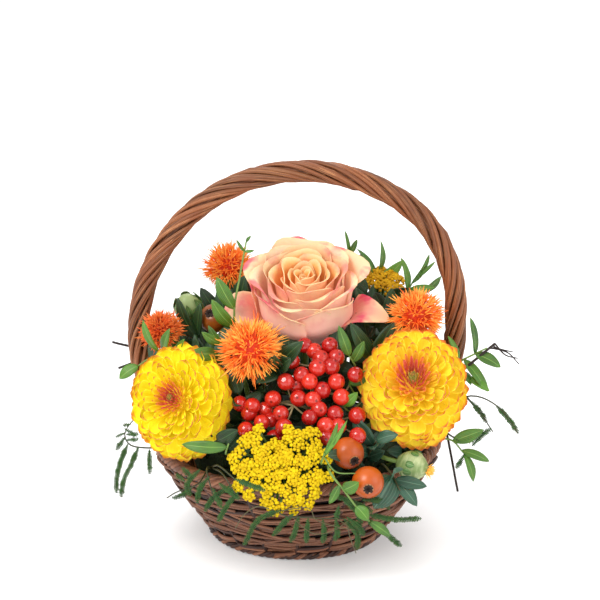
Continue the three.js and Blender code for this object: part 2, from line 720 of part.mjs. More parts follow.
cutStem("rose_stem", [4, 6], ROSE_AT, ROSE_AXIS, { radius: 2.8, back: 2, run: 20 });
for (const [side, { at, axis, foot }] of Object.entries(dahlias)) {
  cutStem(`dahlia_${side}_stem`, foot, at, axis, { radius: 2.3, back: 8 });
}
safflowers.forEach(({ at, axis, foot, radius }, index) => {
  const [x, y] = foot;
  const end = at.clone().addScaledVector(axis, -radius * 0.8);
  const bend = at.clone().addScaledVector(axis, -radius * 1.5);
  const path = [[x, y, STEM_END], [x, y, FOAM_TOP], bend.toArray(), end.toArray()];
  place(`safflower_${index + 1}_stem`, STEM_GREEN, (grow) => {
    const bracts = bractHead(radius)(grow).transform(facing(at, axis).elements);
    return join([bracts, stem(path, 2, 1.7, { steps: 3, grow })]);
  });
});
cutStem("yarrow_front_stem", [-6, -48], YARROW_FRONT.at, YARROW_FRONT.axis, { radius: 1.8, back: 1 });
cutStem("yarrow_back_stem", [34, 26], YARROW_BACK.at, YARROW_BACK.axis, { radius: 1.6, back: 0 });
cutStem("bud_left_stem", [-36, 6], BUD_LEFT.at, BUD_LEFT.axis, { radius: 1.6, back: 8 });
cutStem("bud_right_stem", [44, -44], BUD_RIGHT.at, BUD_RIGHT.axis, { radius: 1.6, back: 8 });
cutStem("hip_left_stem", [-32, -4], hips[2].at, hips[2].axis, { radius: 1.5, back: 8 });
place("hip_front_stem", STEM_GREEN, (grow) => {
  const fork = [30, -64, 76];
  const parts = [stem([[24, -46, STEM_END], [26, -54, 70], fork], 1.7, 1.4, { grow })];
  for (const { at, axis } of hips.slice(0, 2)) {
    const end = at.clone().addScaledVector(axis, -HIP_RADIUS * 0.7);
    parts.push(stem([fork, end.toArray()], 1.2, 1.2, { steps: 1, grow }));
  }
  return join(parts);
});

// ---- leaves, ferns and twigs -----------------------------------------------------------------

// Light green leafy stems: the way of the stem and of its shoots, then the tip of each leaf, with
// its own width, and the place that it starts from.
const lightStems = {
  beside_rose: {
    path: [[-26, -16, STEM_END], [-34, -22, 110], [-40, -28, 155], [-36, -26, 183], [-32, -26, 205]],
    leaves: [
      [-51, -24, 181, 9, -40, -26, 160],
      [-54, -30, 168, 9, -41, -26, 149],
      [-44, -32, 141, 7, -37, -24, 128],
      [-28, -26, 210, 3, -34, -26, 194],
    ],
  },
  left: {
    path: [[-50, -6, STEM_END], [-62, -14, 90], [-78, -30, 128], [-88, -38, 136]],
    shoots: [[[-80, -32, 130], [-94, -38, 131], [-101, -40, 127]]],
    leaves: [
      [-97, -44, 159, 6, -88, -40, 135],
      [-80, -46, 154, 7, -80, -44, 136],
      [-71, -46, 147, 6],
      [-113, -42, 119, 8, -101, -40, 127],
    ],
  },
  centre_left: {
    path: [[-26, -22, STEM_END], [-32, -30, 110], [-44, -40, 134], [-49, -42, 146]],
    leaves: [
      [-68, -54, 140, 9, -48, -42, 139],
      [-60, -44, 151, 6],
      [-56, -40, 154, 5],
      [-62, -50, 132, 7, -44, -40, 128],
    ],
  },
  among_berries: {
    path: [[38, -24, STEM_END], [42, -32, 100], [38, -46, 126], [33, -58, 140]],
    leaves: [
      [26, -64, 162, 7, 33, -60, 138],
      [42, -56, 149, 7],
      [46, -52, 128, 8, 38, -46, 119],
    ],
  },
  front_right: {
    path: [[16, -50, STEM_END], [18, -82, 78], [21, -106, 80], [29, -108, 70], [45, -110, 50]],
    leaves: [
      [38, -111, 71, 8, 28, -109, 71],
      [44, -113, 52, 8, 36, -110, 61],
      [58, -110, 40, 6, 45, -110, 50],
      [20, -110, 62, 5, 27, -109, 74],
    ],
  },
  front_left: {
    path: [[-30, -44, STEM_END], [-42, -76, 80], [-44, -92, 88], [-42, -96, 96]],
    leaves: [[-71, -92, 94, 8, -46, -90, 92]],
  },
  behind_right: {
    path: [[42, 36, STEM_END], [50, 40, 110], [54, 48, 150], [54, 50, 159]],
    shoots: [
      [[50, 40, 110], [40, 40, 150], [35, 42, 176]],
      [[50, 40, 110], [68, 48, 136], [79, 52, 156]],
      [[68, 48, 136], [76, 50, 144], [85, 51, 147]],
    ],
    leaves: [
      [32, 44, 192, 3, 35, 42, 174],
      [40, 44, 186, 4, 36, 42, 170],
      [40, 50, 178, 7, 53, 48, 150],
      [56, 52, 183, 6, 54, 50, 156],
      [71, 52, 169, 8, 54, 50, 154],
      [70, 54, 170, 7, 73, 50, 146],
      [89, 56, 172, 5, 78, 52, 153],
      [97, 52, 158, 6, 84, 51, 146],
      [92, 46, 152, 7, 76, 50, 144],
      [84, 40, 146, 8, 72, 48, 140],
    ],
  },
  right_outside: {
    path: [[60, -6, STEM_END], [80, -16, 96], [102, -20, 120], [114, -24, 129], [122, -26, 134]],
    leaves: [
      [111, -24, 154, 6, 113, -24, 128],
      [131, -26, 121, 8, 114, -24, 129],
      [123, -28, 105, 8, 110, -22, 125],
      [97, -26, 142, 5, 104, -21, 122],
      [112, -30, 110, 7, 104, -21, 121],
    ],
  },
  right_low: {
    path: [[56, -34, STEM_END], [78, -44, 74], [97, -48, 80], [107, -53, 72]],
    leaves: [
      [119, -52, 88, 9, 97, -48, 80],
      [123, -54, 67, 6, 104, -51, 76],
      [113, -56, 54, 6, 106, -53, 73],
    ],
  },
};
for (const [name, spray] of Object.entries(lightStems)) {
  place(`light_leaves_${name}`, LIGHT_LEAF, leafyStem(spray));
}

// Dark green leafy stems that fill the spaces between the flowers.
const darkStems = {
  above_berries: {
    path: [[-8, -18, STEM_END], [-10, -26, 100], [-12, -44, 126], [-12, -54, 134]],
    leaves: [[6, -56, 150], [-14, -68, 144], [-25, -64, 124], [-4, -62, 140]],
  },
  right_of_rose: {
    path: [[36, -12, STEM_END], [42, -20, 100], [48, -30, 128], [51, -34, 138]],
    leaves: [[36, -42, 154], [62, -30, 150], [50, -46, 142, 9]],
  },
  around_bud_right: {
    path: [[50, -38, STEM_END], [54, -66, 70], [60, -86, 70], [64, -94, 64]],
    leaves: [[48, -104, 56, 16], [60, -102, 82], [75, -93, 53, 9], [81, -90, 65, 8]],
  },
  around_bud_left: {
    path: [[-42, 8, STEM_END], [-52, 4, 100], [-64, -6, 132], [-67, -8, 142]],
    leaves: [[-77, -8, 162, 9], [-58, -14, 160, 9], [-62, -34, 138], [-84, -22, 130, 9]],
  },
};
for (const [name, spray] of Object.entries(darkStems)) {
  place(`dark_leaves_${name}`, DARK_LEAF, leafyStem({ ...spray, width: 11 }));
}

// Bushy dark stems fill the back and the sides, where the flowers don't face.
const BUSHES = [
  { foot: [-46, 24], top: [-78, 42, 120] },
  { foot: [-24, 44], top: [-38, 80, 126] },
  { foot: [12, 48], top: [16, 86, 130] },
  { foot: [46, 30], top: [72, 56, 118] },
  { foot: [-4, 26], top: [-4, 48, 158] },
];
BUSHES.forEach(({ foot, top }, index) => {
  const [x, y] = foot;
  const middle = [(x + top[0]) / 2 - 2, (y + top[1]) / 2 - 2, (FOAM_TOP + top[2]) / 2 + 6];
  const path = [[x, y, STEM_END], middle, top];
  const light = index % 3 === 1;
  const size = light ? { length: 21, width: 8 } : { length: 23, width: 12 };
  const colour = light ? LIGHT_LEAF : DARK_LEAF;
  place(`back_leaves_${index + 1}`, colour, bushyStem({ path, count: 6, ...size, seed: index + 1 }));
});

// Ferns hang over the border.
const ferns = {
  left: {
    path: [[-52, -28, STEM_END], [-74, -40, 80], [-100, -50, 90], [-114, -53, 72]],
    pairs: 7,
    length: 9,
  },
  front_left: {
    path: [[-36, -34, STEM_END], [-56, -66, 68], [-66, -86, 64], [-78, -84, 52]],
    pairs: 8,
    length: 9,
  },
  front: {
    path: [[-14, -52, STEM_END], [-16, -88, 68], [-10, -110, 57], [8, -112, 47], [28, -106, 40]],
    pairs: 10,
    length: 11,
    droop: 1.2,
    from: 0.4,
  },
  front_right: {
    path: [[36, -50, STEM_END], [46, -84, 70], [56, -104, 52], [78, -94, 38]],
    pairs: 8,
    length: 9,
    droop: 0.8,
  },
  right: {
    path: [[62, -18, STEM_END], [88, -26, 84], [112, -32, 104], [134, -36, 88], [143, -36, 78]],
    pairs: 8,
    length: 7,
    droop: 0.8,
    from: 0.5,
  },
  back: {
    path: [[-2, 56, STEM_END], [-6, 84, 78], [-12, 104, 74], [-18, 116, 58]],
    pairs: 9,
    length: 15,
    droop: 0.7,
  },
};
for (const [name, frond] of Object.entries(ferns)) place(`fern_${name}`, FERN_GREEN, fern(frond));

// Bare twigs: the way of each, and a side branch that leaves it at a share of its length.
const twigs = {
  left: {
    path: [[-56, 2, STEM_END], [-74, 8, 94], [-96, 13, 116], [-122, 12, 125]],
    side: [[-106, 12, 112], [-118, 8, 108]],
    fork: 0.7,
  },
  right: {
    path: [[64, 4, STEM_END], [84, -10, 92], [101, -22, 112], [127, -26, 137]],
    side: [[96, -30, 82], [103, -58, 48]],
    fork: 0.45,
  },
};
for (const [name, { path, side, fork }] of Object.entries(twigs)) {
  place(`twig_${name}`, TWIG_BROWN, (grow) => {
    const from = new THREE.CatmullRomCurve3(vectors(path)).getPointAt(fork).toArray();
    const branch = stem([from, ...side], 0.8, 0.5, { sides: 3, steps: 2, grow });
    return join([stem(path, 1.1, 0.7, { sides: 3, steps: 5, grow }), branch]);
  });
}

// ---- the foam --------------------------------------------------------------------------------

// The block of floral foam, with a plain hole for every stem.
place("foam", FOAM_GREEN, () => {
  const bottom = BASE_THICKNESS + LINER_THICKNESS + 3 * CLEARANCE;
  const profile = [[0, bottom], [48, bottom], [70, 50], [66, 66], [44, FOAM_TOP], [0, FOAM_TOP + 2]];
  return solid(turned(profile, 16));
});

export default arrangement;
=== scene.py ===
# %% [markdown]
# # A basket of cut flowers
# The model from the first step is the frame: it says where every stem, flower and rod is.
# This lesson dresses it. Each piece is shaped in millimetres, with the same numbers as the
# solid that it stands for, and is brought to metres when it becomes an object.

import math

import bmesh
import bpy
from mathutils import Matrix, Quaternion, Vector


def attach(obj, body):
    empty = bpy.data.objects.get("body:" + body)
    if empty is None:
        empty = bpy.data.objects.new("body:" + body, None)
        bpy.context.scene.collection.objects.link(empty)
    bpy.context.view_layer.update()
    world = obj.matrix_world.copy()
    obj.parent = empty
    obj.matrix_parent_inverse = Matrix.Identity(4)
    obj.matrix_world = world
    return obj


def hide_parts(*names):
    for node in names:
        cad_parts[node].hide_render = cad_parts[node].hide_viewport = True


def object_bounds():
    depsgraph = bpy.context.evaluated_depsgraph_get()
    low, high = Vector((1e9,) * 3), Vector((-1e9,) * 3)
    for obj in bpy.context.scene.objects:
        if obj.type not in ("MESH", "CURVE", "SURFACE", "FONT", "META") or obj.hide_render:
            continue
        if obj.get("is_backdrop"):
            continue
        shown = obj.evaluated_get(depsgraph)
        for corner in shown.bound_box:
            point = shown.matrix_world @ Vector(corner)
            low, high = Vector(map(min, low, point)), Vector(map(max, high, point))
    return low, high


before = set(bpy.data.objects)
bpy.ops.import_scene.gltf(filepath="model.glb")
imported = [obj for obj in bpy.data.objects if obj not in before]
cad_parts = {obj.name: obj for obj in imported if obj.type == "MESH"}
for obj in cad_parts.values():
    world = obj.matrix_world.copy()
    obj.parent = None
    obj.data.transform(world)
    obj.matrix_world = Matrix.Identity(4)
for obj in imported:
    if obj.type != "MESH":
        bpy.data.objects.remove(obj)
CAD_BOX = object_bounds()
MM = 0.001
TURN = 2 * math.pi
GOLDEN_ANGLE = math.pi * (3 - math.sqrt(5))
print("nodes in the frame:", len(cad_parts))

# %% [markdown]
# ## Camera first
# The photo looks down at the basket by about 18 degrees from well over a metre away, so the
# camera is a long lens that far off. Working with the right view from the start shows every
# wrong size at once.

# %% The camera
AIM = Vector((2, 0, 158))
CAMERA_FROM = Vector((2, -1331.5, 590.6))
camera = bpy.data.objects.new("camera", bpy.data.cameras.new("camera"))
camera.data.lens = 129.2
camera.data.sensor_width = 36
camera.data.clip_end = 20
camera.location = CAMERA_FROM * MM
camera.rotation_euler = (AIM - CAMERA_FROM).to_track_quat("-Z", "Y").to_euler()
bpy.context.collection.objects.link(camera)
bpy.context.scene.camera = camera
print(f"camera: {camera.data.lens} mm lens, {(AIM - CAMERA_FROM).length * MM:.2f} m away")

# %% [markdown]
# ## Soft light
# A large lamp high on the left is the main light, a weaker one on the right fills the shadows,
# and one behind lifts the edges of the petals. The white surroundings keep every shadow soft,
# as a light tent does in a studio.

# %% Lamps and surroundings
def area_light(name, at, aim, size, power):
    """A square soft lamp."""
    lamp = bpy.data.objects.new(name, bpy.data.lights.new(name, "AREA"))
    lamp.data.energy = power
    lamp.data.size = size
    lamp.location = at
    lamp.rotation_euler = (Vector(aim) - Vector(at)).to_track_quat("-Z", "Y").to_euler()
    bpy.context.collection.objects.link(lamp)


area_light("key_light", (-0.9, -1.0, 1.5), (0, 0, 0.1), 0.9, 25)
area_light("fill_light", (1.3, -0.9, 0.8), (0, 0, 0.1), 1.2, 8)
area_light("back_light", (0.2, 1.2, 1.2), (0, 0, 0.15), 1.0, 9)
world = bpy.data.worlds.new("studio")
world.use_nodes = True
world.node_tree.nodes["Background"].inputs["Color"].default_value = (1, 1, 1, 1)
world.node_tree.nodes["Background"].inputs["Strength"].default_value = 0.8
bpy.context.scene.world = world
bpy.context.scene.view_settings.view_transform = "Standard"
print("lamps:", ", ".join(lamp.name for lamp in bpy.data.lights))

# %% [markdown]
# ## Helpers for materials
# A material is a small tree of nodes. These helpers keep the trees short to write: one adds a
# node and wires its inputs, and the others add the nodes that come back most: a sum, a change of
# range, a colour made lighter or darker, a mix of two colours by a mask, and a colour ramp.
# A colour is written as a screen shows it and turned into the renderer's linear values.

# %% Nodes, mixes, ramps and colours
def node(tree, kind, inputs=None, **settings):
    """Adds a node. An input is given a value, or another node's output socket to wire to it."""
    made = tree.nodes.new(kind)
    for key, value in settings.items():
        setattr(made, key, value)
    for key, value in (inputs or {}).items():
        if isinstance(value, bpy.types.NodeSocket):
            tree.links.new(value, made.inputs[key])
        else:
            made.inputs[key].default_value = value
    return made


def maths(tree, operation, *values):
    """The result of a sum with one or two values or sockets."""
    return node(tree, "ShaderNodeMath", dict(enumerate(values)), operation=operation).outputs[0]


def to_range(tree, value, low, high, bottom=0.0, top=1.0, **settings):
    """Moves what lies between low and high to between bottom and top."""
    ends = {"Value": value, "From Min": low, "From Max": high, "To Min": bottom, "To Max": top}
    return node(tree, "ShaderNodeMapRange", ends, **settings).outputs["Result"]


def lit(tree, face, level):
    """A colour made lighter or darker by a level."""
    return node(tree, "ShaderNodeVectorMath", {0: face, "Scale": level}, operation="SCALE").outputs["Vector"]


def mix(tree, mask, first, second):
    """Mixes two colours by a mask. Each may be a colour or a socket."""
    made = node(tree, "ShaderNodeMix", {0: mask, 6: first, 7: second}, data_type="RGBA")
    return made.outputs[2]


def ramp(tree, value, stops):
    """A colour ramp through (place, colour) stops."""
    made = node(tree, "ShaderNodeValToRGB", {"Fac": value})
    elements = made.color_ramp.elements
    elements[0].position, elements[0].color = stops[0]
    elements[1].position, elements[1].color = stops[-1]
    for place, shade in stops[1:-1]:
        elements.new(place).color = shade
    return made.outputs["Color"]


def colour(code):
    """A colour as the screen shows it, such as 0xC8102E, in the renderer's linear values."""
    parts = [((code >> shift) & 255) / 255 for shift in (16, 8, 0)]
    linear = [p / 12.92 if p <= 0.04045 else ((p + 0.055) / 1.055) ** 2.4 for p in parts]
    return (*linear, 1.0)


print("middle grey in linear values:", [round(part, 3) for part in colour(0x808080)])

# %% [markdown]
# ## How a material starts and ends
# Every material is one Principled shader. Whatever changes over the surface is wired into its
# sockets. Whatever is the same all over is a plain value on the socket itself, which keeps the
# tree small and is understood by every other program that the model may be taken to.

# %% Start and finish a material
def new_material(name, roughness=0.5):
    """An empty material and its node tree."""
    material = bpy.data.materials.new(name)
    material.use_nodes = True
    material.node_tree.nodes["Principled BSDF"].inputs["Roughness"].default_value = roughness
    return material, material.node_tree


def finish_material(tree, base, height=None, strength=0.3, distance=0.0005, **values):
    """Wires the colour and the bump into the shader, and sets its constant values."""
    shader = tree.nodes["Principled BSDF"]
    tree.links.new(base, shader.inputs["Base Color"])
    for name, value in values.items():
        key = name.replace("_", " ").title().replace("Ior", "IOR")
        if isinstance(value, bpy.types.NodeSocket):
            tree.links.new(value, shader.inputs[key])
        else:
            shader.inputs[key].default_value = value
    if height is not None:
        bump = node(tree, "ShaderNodeBump", {"Strength": strength, "Distance": distance, "Height": height})
        tree.links.new(bump.outputs["Normal"], shader.inputs["Normal"])


print("a material can be started and finished")

# %% [markdown]
# ## Blotches that many materials share
# Plant surfaces and willow are never one flat colour. The node group "mottle" holds one cloud of
# noise, as a mask that blotches a colour and as a height for fine bumps. It is built once, and
# each material places it with its own scale, so all of them can be mended in one spot.

# %% The mottle group
def new_group(name, inputs, outputs):
    """An empty shader node group with named numbers in and out."""
    group = bpy.data.node_groups.new(name, "ShaderNodeTree")
    for label, value in inputs.items():
        socket = group.interface.new_socket(label, in_out="INPUT", socket_type="NodeSocketFloat")
        socket.default_value = value
    for label in outputs:
        group.interface.new_socket(label, in_out="OUTPUT", socket_type="NodeSocketFloat")
    return group, group.nodes.new("NodeGroupInput"), group.nodes.new("NodeGroupOutput")


def build_mottle():
    inputs = {"Scale": 60.0, "Detail": 3.0, "Low": 0.35, "High": 0.65}
    group, given, out = new_group("mottle", inputs, ["Mask", "Height"])
    place = node(group, "ShaderNodeTexCoord")
    cloud = node(group, "ShaderNodeTexNoise", {
        "Vector": place.outputs["Object"],
        "Scale": given.outputs["Scale"],
        "Detail": given.outputs["Detail"],
    })
    mask = to_range(group, cloud.outputs["Fac"], given.outputs["Low"], given.outputs["High"])
    group.links.new(mask, out.inputs["Mask"])
    group.links.new(cloud.outputs["Fac"], out.inputs["Height"])
    return group


MOTTLE = build_mottle()


def mottle(tree, scale, low=0.35, high=0.65):
    """Places the mottle group with its own values."""
    made = node(tree, "ShaderNodeGroup", node_tree=MOTTLE)
    made.inputs["Scale"].default_value = scale
    made.inputs["Low"].default_value = low
    made.inputs["High"].default_value = high
    return made


print("group:", MOTTLE.name, [socket.name for socket in MOTTLE.interface.items_tree])

# %% [markdown]
# ## Lines along petals and leaves
# A petal has fine lines from root to tip, and a leaf has slanting veins and a midrib. The group
# "ribs" draws them from the piece's own UV map, where U runs across the blade and V from its root
# to its tip, so the lines follow every bend. A cosine across U gives the lines, and the distance
# from the middle gives the midrib.

# %% The ribs group
def build_ribs():
    group, given, out = new_group("ribs", {"Count": 10.0, "Slant": 0.0}, ["Mask", "Midrib"])
    place = node(group, "ShaderNodeUVMap", uv_map="UVMap")
    parts = node(group, "ShaderNodeSeparateXYZ", {"Vector": place.outputs["UV"]})
    apart = maths(group, "ABSOLUTE", maths(group, "SUBTRACT", parts.outputs["X"], 0.5))
    across = maths(group, "MULTIPLY", apart, given.outputs["Count"])
    along = maths(group, "MULTIPLY", parts.outputs["Y"], given.outputs["Slant"])
    phase = maths(group, "SUBTRACT", across, along)
    line = maths(group, "COSINE", maths(group, "MULTIPLY", phase, TURN))
    group.links.new(to_range(group, line, 0.2, 1.0), out.inputs["Mask"])
    group.links.new(to_range(group, apart, 0.06, 0.015), out.inputs["Midrib"])
    return group


RIBS = build_ribs()


def ribs(tree, count, slant=0.0):
    """Places the ribs group with its own values."""
    made = node(tree, "ShaderNodeGroup", node_tree=RIBS)
    made.inputs["Count"].default_value = count
    made.inputs["Slant"].default_value = slant
    return made


print("group:", RIBS.name, [socket.name for socket in RIBS.interface.items_tree])

# %% [markdown]
# ## What each small shape tells its material
# A flower has hundreds of petals in one mesh. Each carries a tone attribute with three numbers:
# a draw that makes it lighter or darker, its place in the flower, and which side of the blade a
# point is on. One material then serves the whole flower.

# %% Read the tone and the UV map
def tone(tree):
    """The tone attribute that each small shape carries: a draw, its place in the flower, its side."""
    made = node(tree, "ShaderNodeAttribute", attribute_name="tone")
    parts = node(tree, "ShaderNodeSeparateColor", {"Color": made.outputs["Color"]})
    return parts.outputs["Red"], parts.outputs["Green"], parts.outputs["Blue"]


def uv_along(tree):
    """U, across a blade, and V, 0 at its root and 1 at its tip."""
    place = node(tree, "ShaderNodeUVMap", uv_map="UVMap")
    parts = node(tree, "ShaderNodeSeparateXYZ", {"Vector": place.outputs["UV"]})
    return parts.outputs["X"], parts.outputs["Y"]


print("materials can read the tone and the UV map")

# %% [markdown]
# ## The table
# A plain pale floor lies under the basket. It glows a little, so that it stays as white as the
# surroundings, and a darker ring close to the foot deepens the soft shadow that a basket leaves
# where it touches the table. The floor is only stage and not part of the object.

# %% The floor
SHADOW_START, SHADOW_END = 0.055, 0.1


def make_floor():
    shape = bmesh.new()
    bmesh.ops.create_grid(shape, x_segments=4, y_segments=4, size=3)
    mesh = bpy.data.meshes.new("floor")
    shape.to_mesh(mesh)
    shape.free()
    material, tree = new_material("floor_white", 0.6)
    cloud = mottle(tree, 3)
    base = mix(tree, cloud.outputs["Mask"], (0.90, 0.90, 0.90, 1), (0.92, 0.92, 0.92, 1))
    place = node(tree, "ShaderNodeTexCoord")
    away = node(tree, "ShaderNodeVectorMath", {0: place.outputs["Object"]}, operation="LENGTH")
    clear = to_range(tree, away.outputs["Value"], SHADOW_START, SHADOW_END, interpolation_type="SMOOTHSTEP")
    base = mix(tree, clear, (0.66, 0.65, 0.64, 1), base)
    finish_material(tree, base, emission_color=(1, 1, 1, 1), emission_strength=0.24)
    mesh.materials.append(material)
    floor = bpy.data.objects.new("floor", mesh)
    bpy.context.collection.objects.link(floor)
    floor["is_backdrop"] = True
    print("floor:", len(mesh.polygons), "faces")


make_floor()

# %% [markdown]
# ## Small sums
# Nothing that grows is regular, so most sizes and turns get a little of a draw. The draw is a
# formula of a seed, and not a dice roll, so the same basket comes out every time. The easing
# curve turns one size smoothly into another along a stem or through a flower.

# %% Draws, easing and directions
def draw(seed):
    """A repeatable draw between -1 and 1."""
    value = math.sin(seed * 12.9898) * 43758.5453
    return 2 * (value - math.floor(value)) - 1


def lerp(a, b, t):
    return a + (b - a) * t


def smoothstep(a, b, x):
    t = min(max((x - a) / (b - a), 0), 1)
    return t * t * (3 - 2 * t)


def facing(at, axis):
    """A matrix at a point whose Z looks along an axis."""
    aim = Vector(axis).normalized()
    return Matrix.Translation(at) @ aim.to_track_quat("Z", "Y").to_matrix().to_4x4()


print("first draws:", [round(draw(seed), 2) for seed in range(5)])

# %% [markdown]
# ## Lines that bend like stems
# A stem, a rod or a twig is described by three to nine points. A curve that passes through all of
# them gives the bend, and it is then walked in even steps, because a rod made from uneven steps
# would show long and short facets.

# %% Smooth lines
def smooth_line(points, steps):
    """Evenly spaced points on a smooth curve through a few points."""
    knots = [Vector(p) for p in points]
    knots = [2 * knots[0] - knots[1], *knots, 2 * knots[-1] - knots[-2]]
    fine = []
    for a, b, c, d in zip(knots, knots[1:], knots[2:], knots[3:]):
        for i in range(16):
            t = i / 16
            fine.append(0.5 * (2 * b + (c - a) * t + (2 * a - 5 * b + 4 * c - d) * t * t
                               + (3 * b - a - 3 * c + d) * t ** 3))
    fine.append(knots[-2])
    reach = [0.0]
    for a, b in zip(fine, fine[1:]):
        reach.append(reach[-1] + (b - a).length)
    line, k = [], 0
    for i in range(steps + 1):
        goal = reach[-1] * i / steps
        while k < len(reach) - 2 and reach[k + 1] < goal:
            k += 1
        line.append(fine[k].lerp(fine[k + 1], (goal - reach[k]) / max(reach[k + 1] - reach[k], 1e-9)))
    return line


bent = smooth_line([(0, 0, 0), (5, 0, 8), (5, 0, 20)], 4)
print("steps of a bent line:", [round((b - a).length, 2) for a, b in zip(bent, bent[1:])])

# %% [markdown]
# ## Stamping small shapes
# Flowers repeat a few small shapes hundreds of times. A small shape is made once as a mesh, and
# is then stamped many times into one bigger mesh, each time moved, turned and given its own
# tone. That is quicker than hundreds of objects, and leaves one clean piece per flower.

# %% Small meshes and stamps
def small_mesh(shape):
    """Ends a bmesh as a small mesh that can be stamped."""
    mesh = bpy.data.meshes.new("small")
    shape.to_mesh(mesh)
    shape.free()
    return mesh


def ball(radius, around=16, down=10):
    """A small round mesh."""
    shape = bmesh.new()
    bmesh.ops.create_uvsphere(shape, u_segments=around, v_segments=down, radius=radius)
    return small_mesh(shape)


def set_tone(mesh, values):
    """Gives the points of a small mesh one tone. A part of the tone that is None stays as it is."""
    layer = mesh.attributes.get("tone") or mesh.attributes.new("tone", "FLOAT_COLOR", "POINT")
    marks = [1.0] * (4 * len(layer.data))
    layer.data.foreach_get("color", marks)
    for channel, value in enumerate(values):
        if value is not None:
            marks[channel::4] = [value] * len(layer.data)
    layer.data.foreach_set("color", marks)


def stamp(bunch, shape, matrix, values=None):
    """Adds a moved copy of a small mesh to a bigger one."""
    copy = shape.copy()
    copy.transform(matrix)
    if values:
        set_tone(copy, values)
    bunch.from_mesh(copy)
    bpy.data.meshes.remove(copy)


def take_material(bunch, number):
    """Gives all the faces so far the material of that number."""
    for face in bunch.faces:
        face.material_index = number


def pour(bunch, other):
    """Adds a whole other bmesh, with its own material numbers, to a bunch."""
    mesh = small_mesh(other)
    bunch.from_mesh(mesh)
    bpy.data.meshes.remove(mesh)


print("a ball of 16 by 10 has", len(ball(1).polygons), "faces")

# %% [markdown]
# ## Blades
# A blade is the base of every petal and leaf. It starts as a flat grid, gets its thickness while
# it is still flat, so that its rim closes cleanly, and is then bent by a formula that says where
# each point (across, along) goes. The same grid gives the UV map that the ribs follow.

# %% Blades
def blade(bend, across, along, thickness):
    """A thin closed blade. bend(u, t) places it: u runs -1..1 across and t 0..1 from root to tip."""
    shape = bmesh.new()
    shape.loops.layers.uv.new("UVMap")
    side = shape.verts.layers.float_color.new("tone")
    bmesh.ops.create_grid(shape, x_segments=across, y_segments=along, size=0.5, calc_uvs=True)
    bmesh.ops.solidify(shape, geom=shape.faces[:], thickness=-0.01)
    for vert in shape.verts:
        u, t, upper = 2 * vert.co.x, vert.co.y + 0.5, vert.co.z > 0.005
        point = Vector(bend(u, t))
        nudge = 1e-3
        du = Vector(bend(u + nudge, t)) - Vector(bend(u - nudge, t))
        dt = Vector(bend(u, min(t + nudge, 1))) - Vector(bend(u, max(t - nudge, 0)))
        normal = du.cross(dt)
        normal = normal.normalized() if normal.length > 1e-12 else Vector((0, 0, 0))
        vert[side] = (0.5, 0.5, 1.0 if upper else 0.0, 1.0)
        vert.co = point + normal * (thickness / 2 if upper else -thickness / 2)
    bmesh.ops.recalc_face_normals(shape, faces=shape.faces[:])
    return small_mesh(shape)


print("a flat blade has", len(blade(lambda u, t: (u, t, 0), 4, 6, 0.1).polygons), "faces")

# %% [markdown]
# ## Rods
# Willow, stems, stalks and threads are all round rods. A curve with a round bevel sweeps the
# circle along the line and gives the UV map that bark streaks follow. It is turned into a mesh,
# and its doubled points at the caps and the seam are welded, so that the rod is closed.

# %% Rods
def rod(points, radii, sides=8, closed=False):
    """A round rod through points, as a small mesh. radii holds one radius for each point."""
    curve = bpy.data.curves.new("rod", "CURVE")
    curve.dimensions = "3D"
    curve.bevel_depth = 1.0
    curve.bevel_resolution = max(sides // 2 - 2, 0)
    curve.use_fill_caps = True
    line = curve.splines.new("POLY")
    line.points.add(len(points) - 1)
    for knot, point, radius in zip(line.points, points, radii):
        knot.co = (*point, 1)
        knot.radius = radius
    line.use_cyclic_u = closed
    thing = bpy.data.objects.new("rod", curve)
    mesh = bpy.data.meshes.new_from_object(thing)
    bpy.data.objects.remove(thing)
    bpy.data.curves.remove(curve)
    welded = bmesh.new()
    welded.from_mesh(mesh)
    bmesh.ops.remove_doubles(welded, verts=welded.verts[:], dist=1e-4)
    welded.to_mesh(mesh)
    welded.free()
    return mesh


def add_rod(bunch, points, start, end, sides=6, values=(0.5, 0.5, 0.5)):
    """Stamps a rod that tapers from one radius to the other."""
    last = len(points) - 1
    mesh = rod(points, [lerp(start, end, i / last) for i in range(last + 1)], sides)
    stamp(bunch, mesh, Matrix.Identity(4), values)
    bpy.data.meshes.remove(mesh)


print("a straight rod has", len(rod([(0, 0, 0), (0, 0, 1)], [1, 1]).polygons), "faces")

# %% [markdown]
# ## From a bunch to a piece
# A finished bunch is brought from millimetres to metres and becomes one object at the origin. It
# rides on the basket's only body, hides the solids of the frame that it stands for, and prints how
# many triangles it has.

# %% Finish a piece
def piece(name, bunch, materials, nodes, sharp=None):
    """Turns a mesh in millimetres into an object that stands for nodes of the frame."""
    bmesh.ops.scale(bunch, vec=(MM, MM, MM), verts=bunch.verts[:])
    mesh = bpy.data.meshes.new(name)
    bunch.to_mesh(mesh)
    bunch.free()
    mesh.shade_smooth()
    if sharp:
        mesh.set_sharp_from_angle(angle=math.radians(sharp))
    for material in materials:
        mesh.materials.append(material)
    thing = bpy.data.objects.new(name, mesh)
    bpy.context.collection.objects.link(thing)
    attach(thing, "root")
    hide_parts(*nodes)
    print(f"{name}: {sum(len(p.vertices) - 2 for p in mesh.polygons)} triangles")


print("pieces can be finished")

# %% [markdown]
# ## Willow
# The basket is woven from thin willow rods with their bark on, dark red-brown with paler
# streaks where the bark is rubbed. The streaks run along each rod, so the material reads the
# rod's own UV map, and each rod's tone shifts it a little lighter or darker. The same streaks,
# in greens, serve the rind of a bud later on.

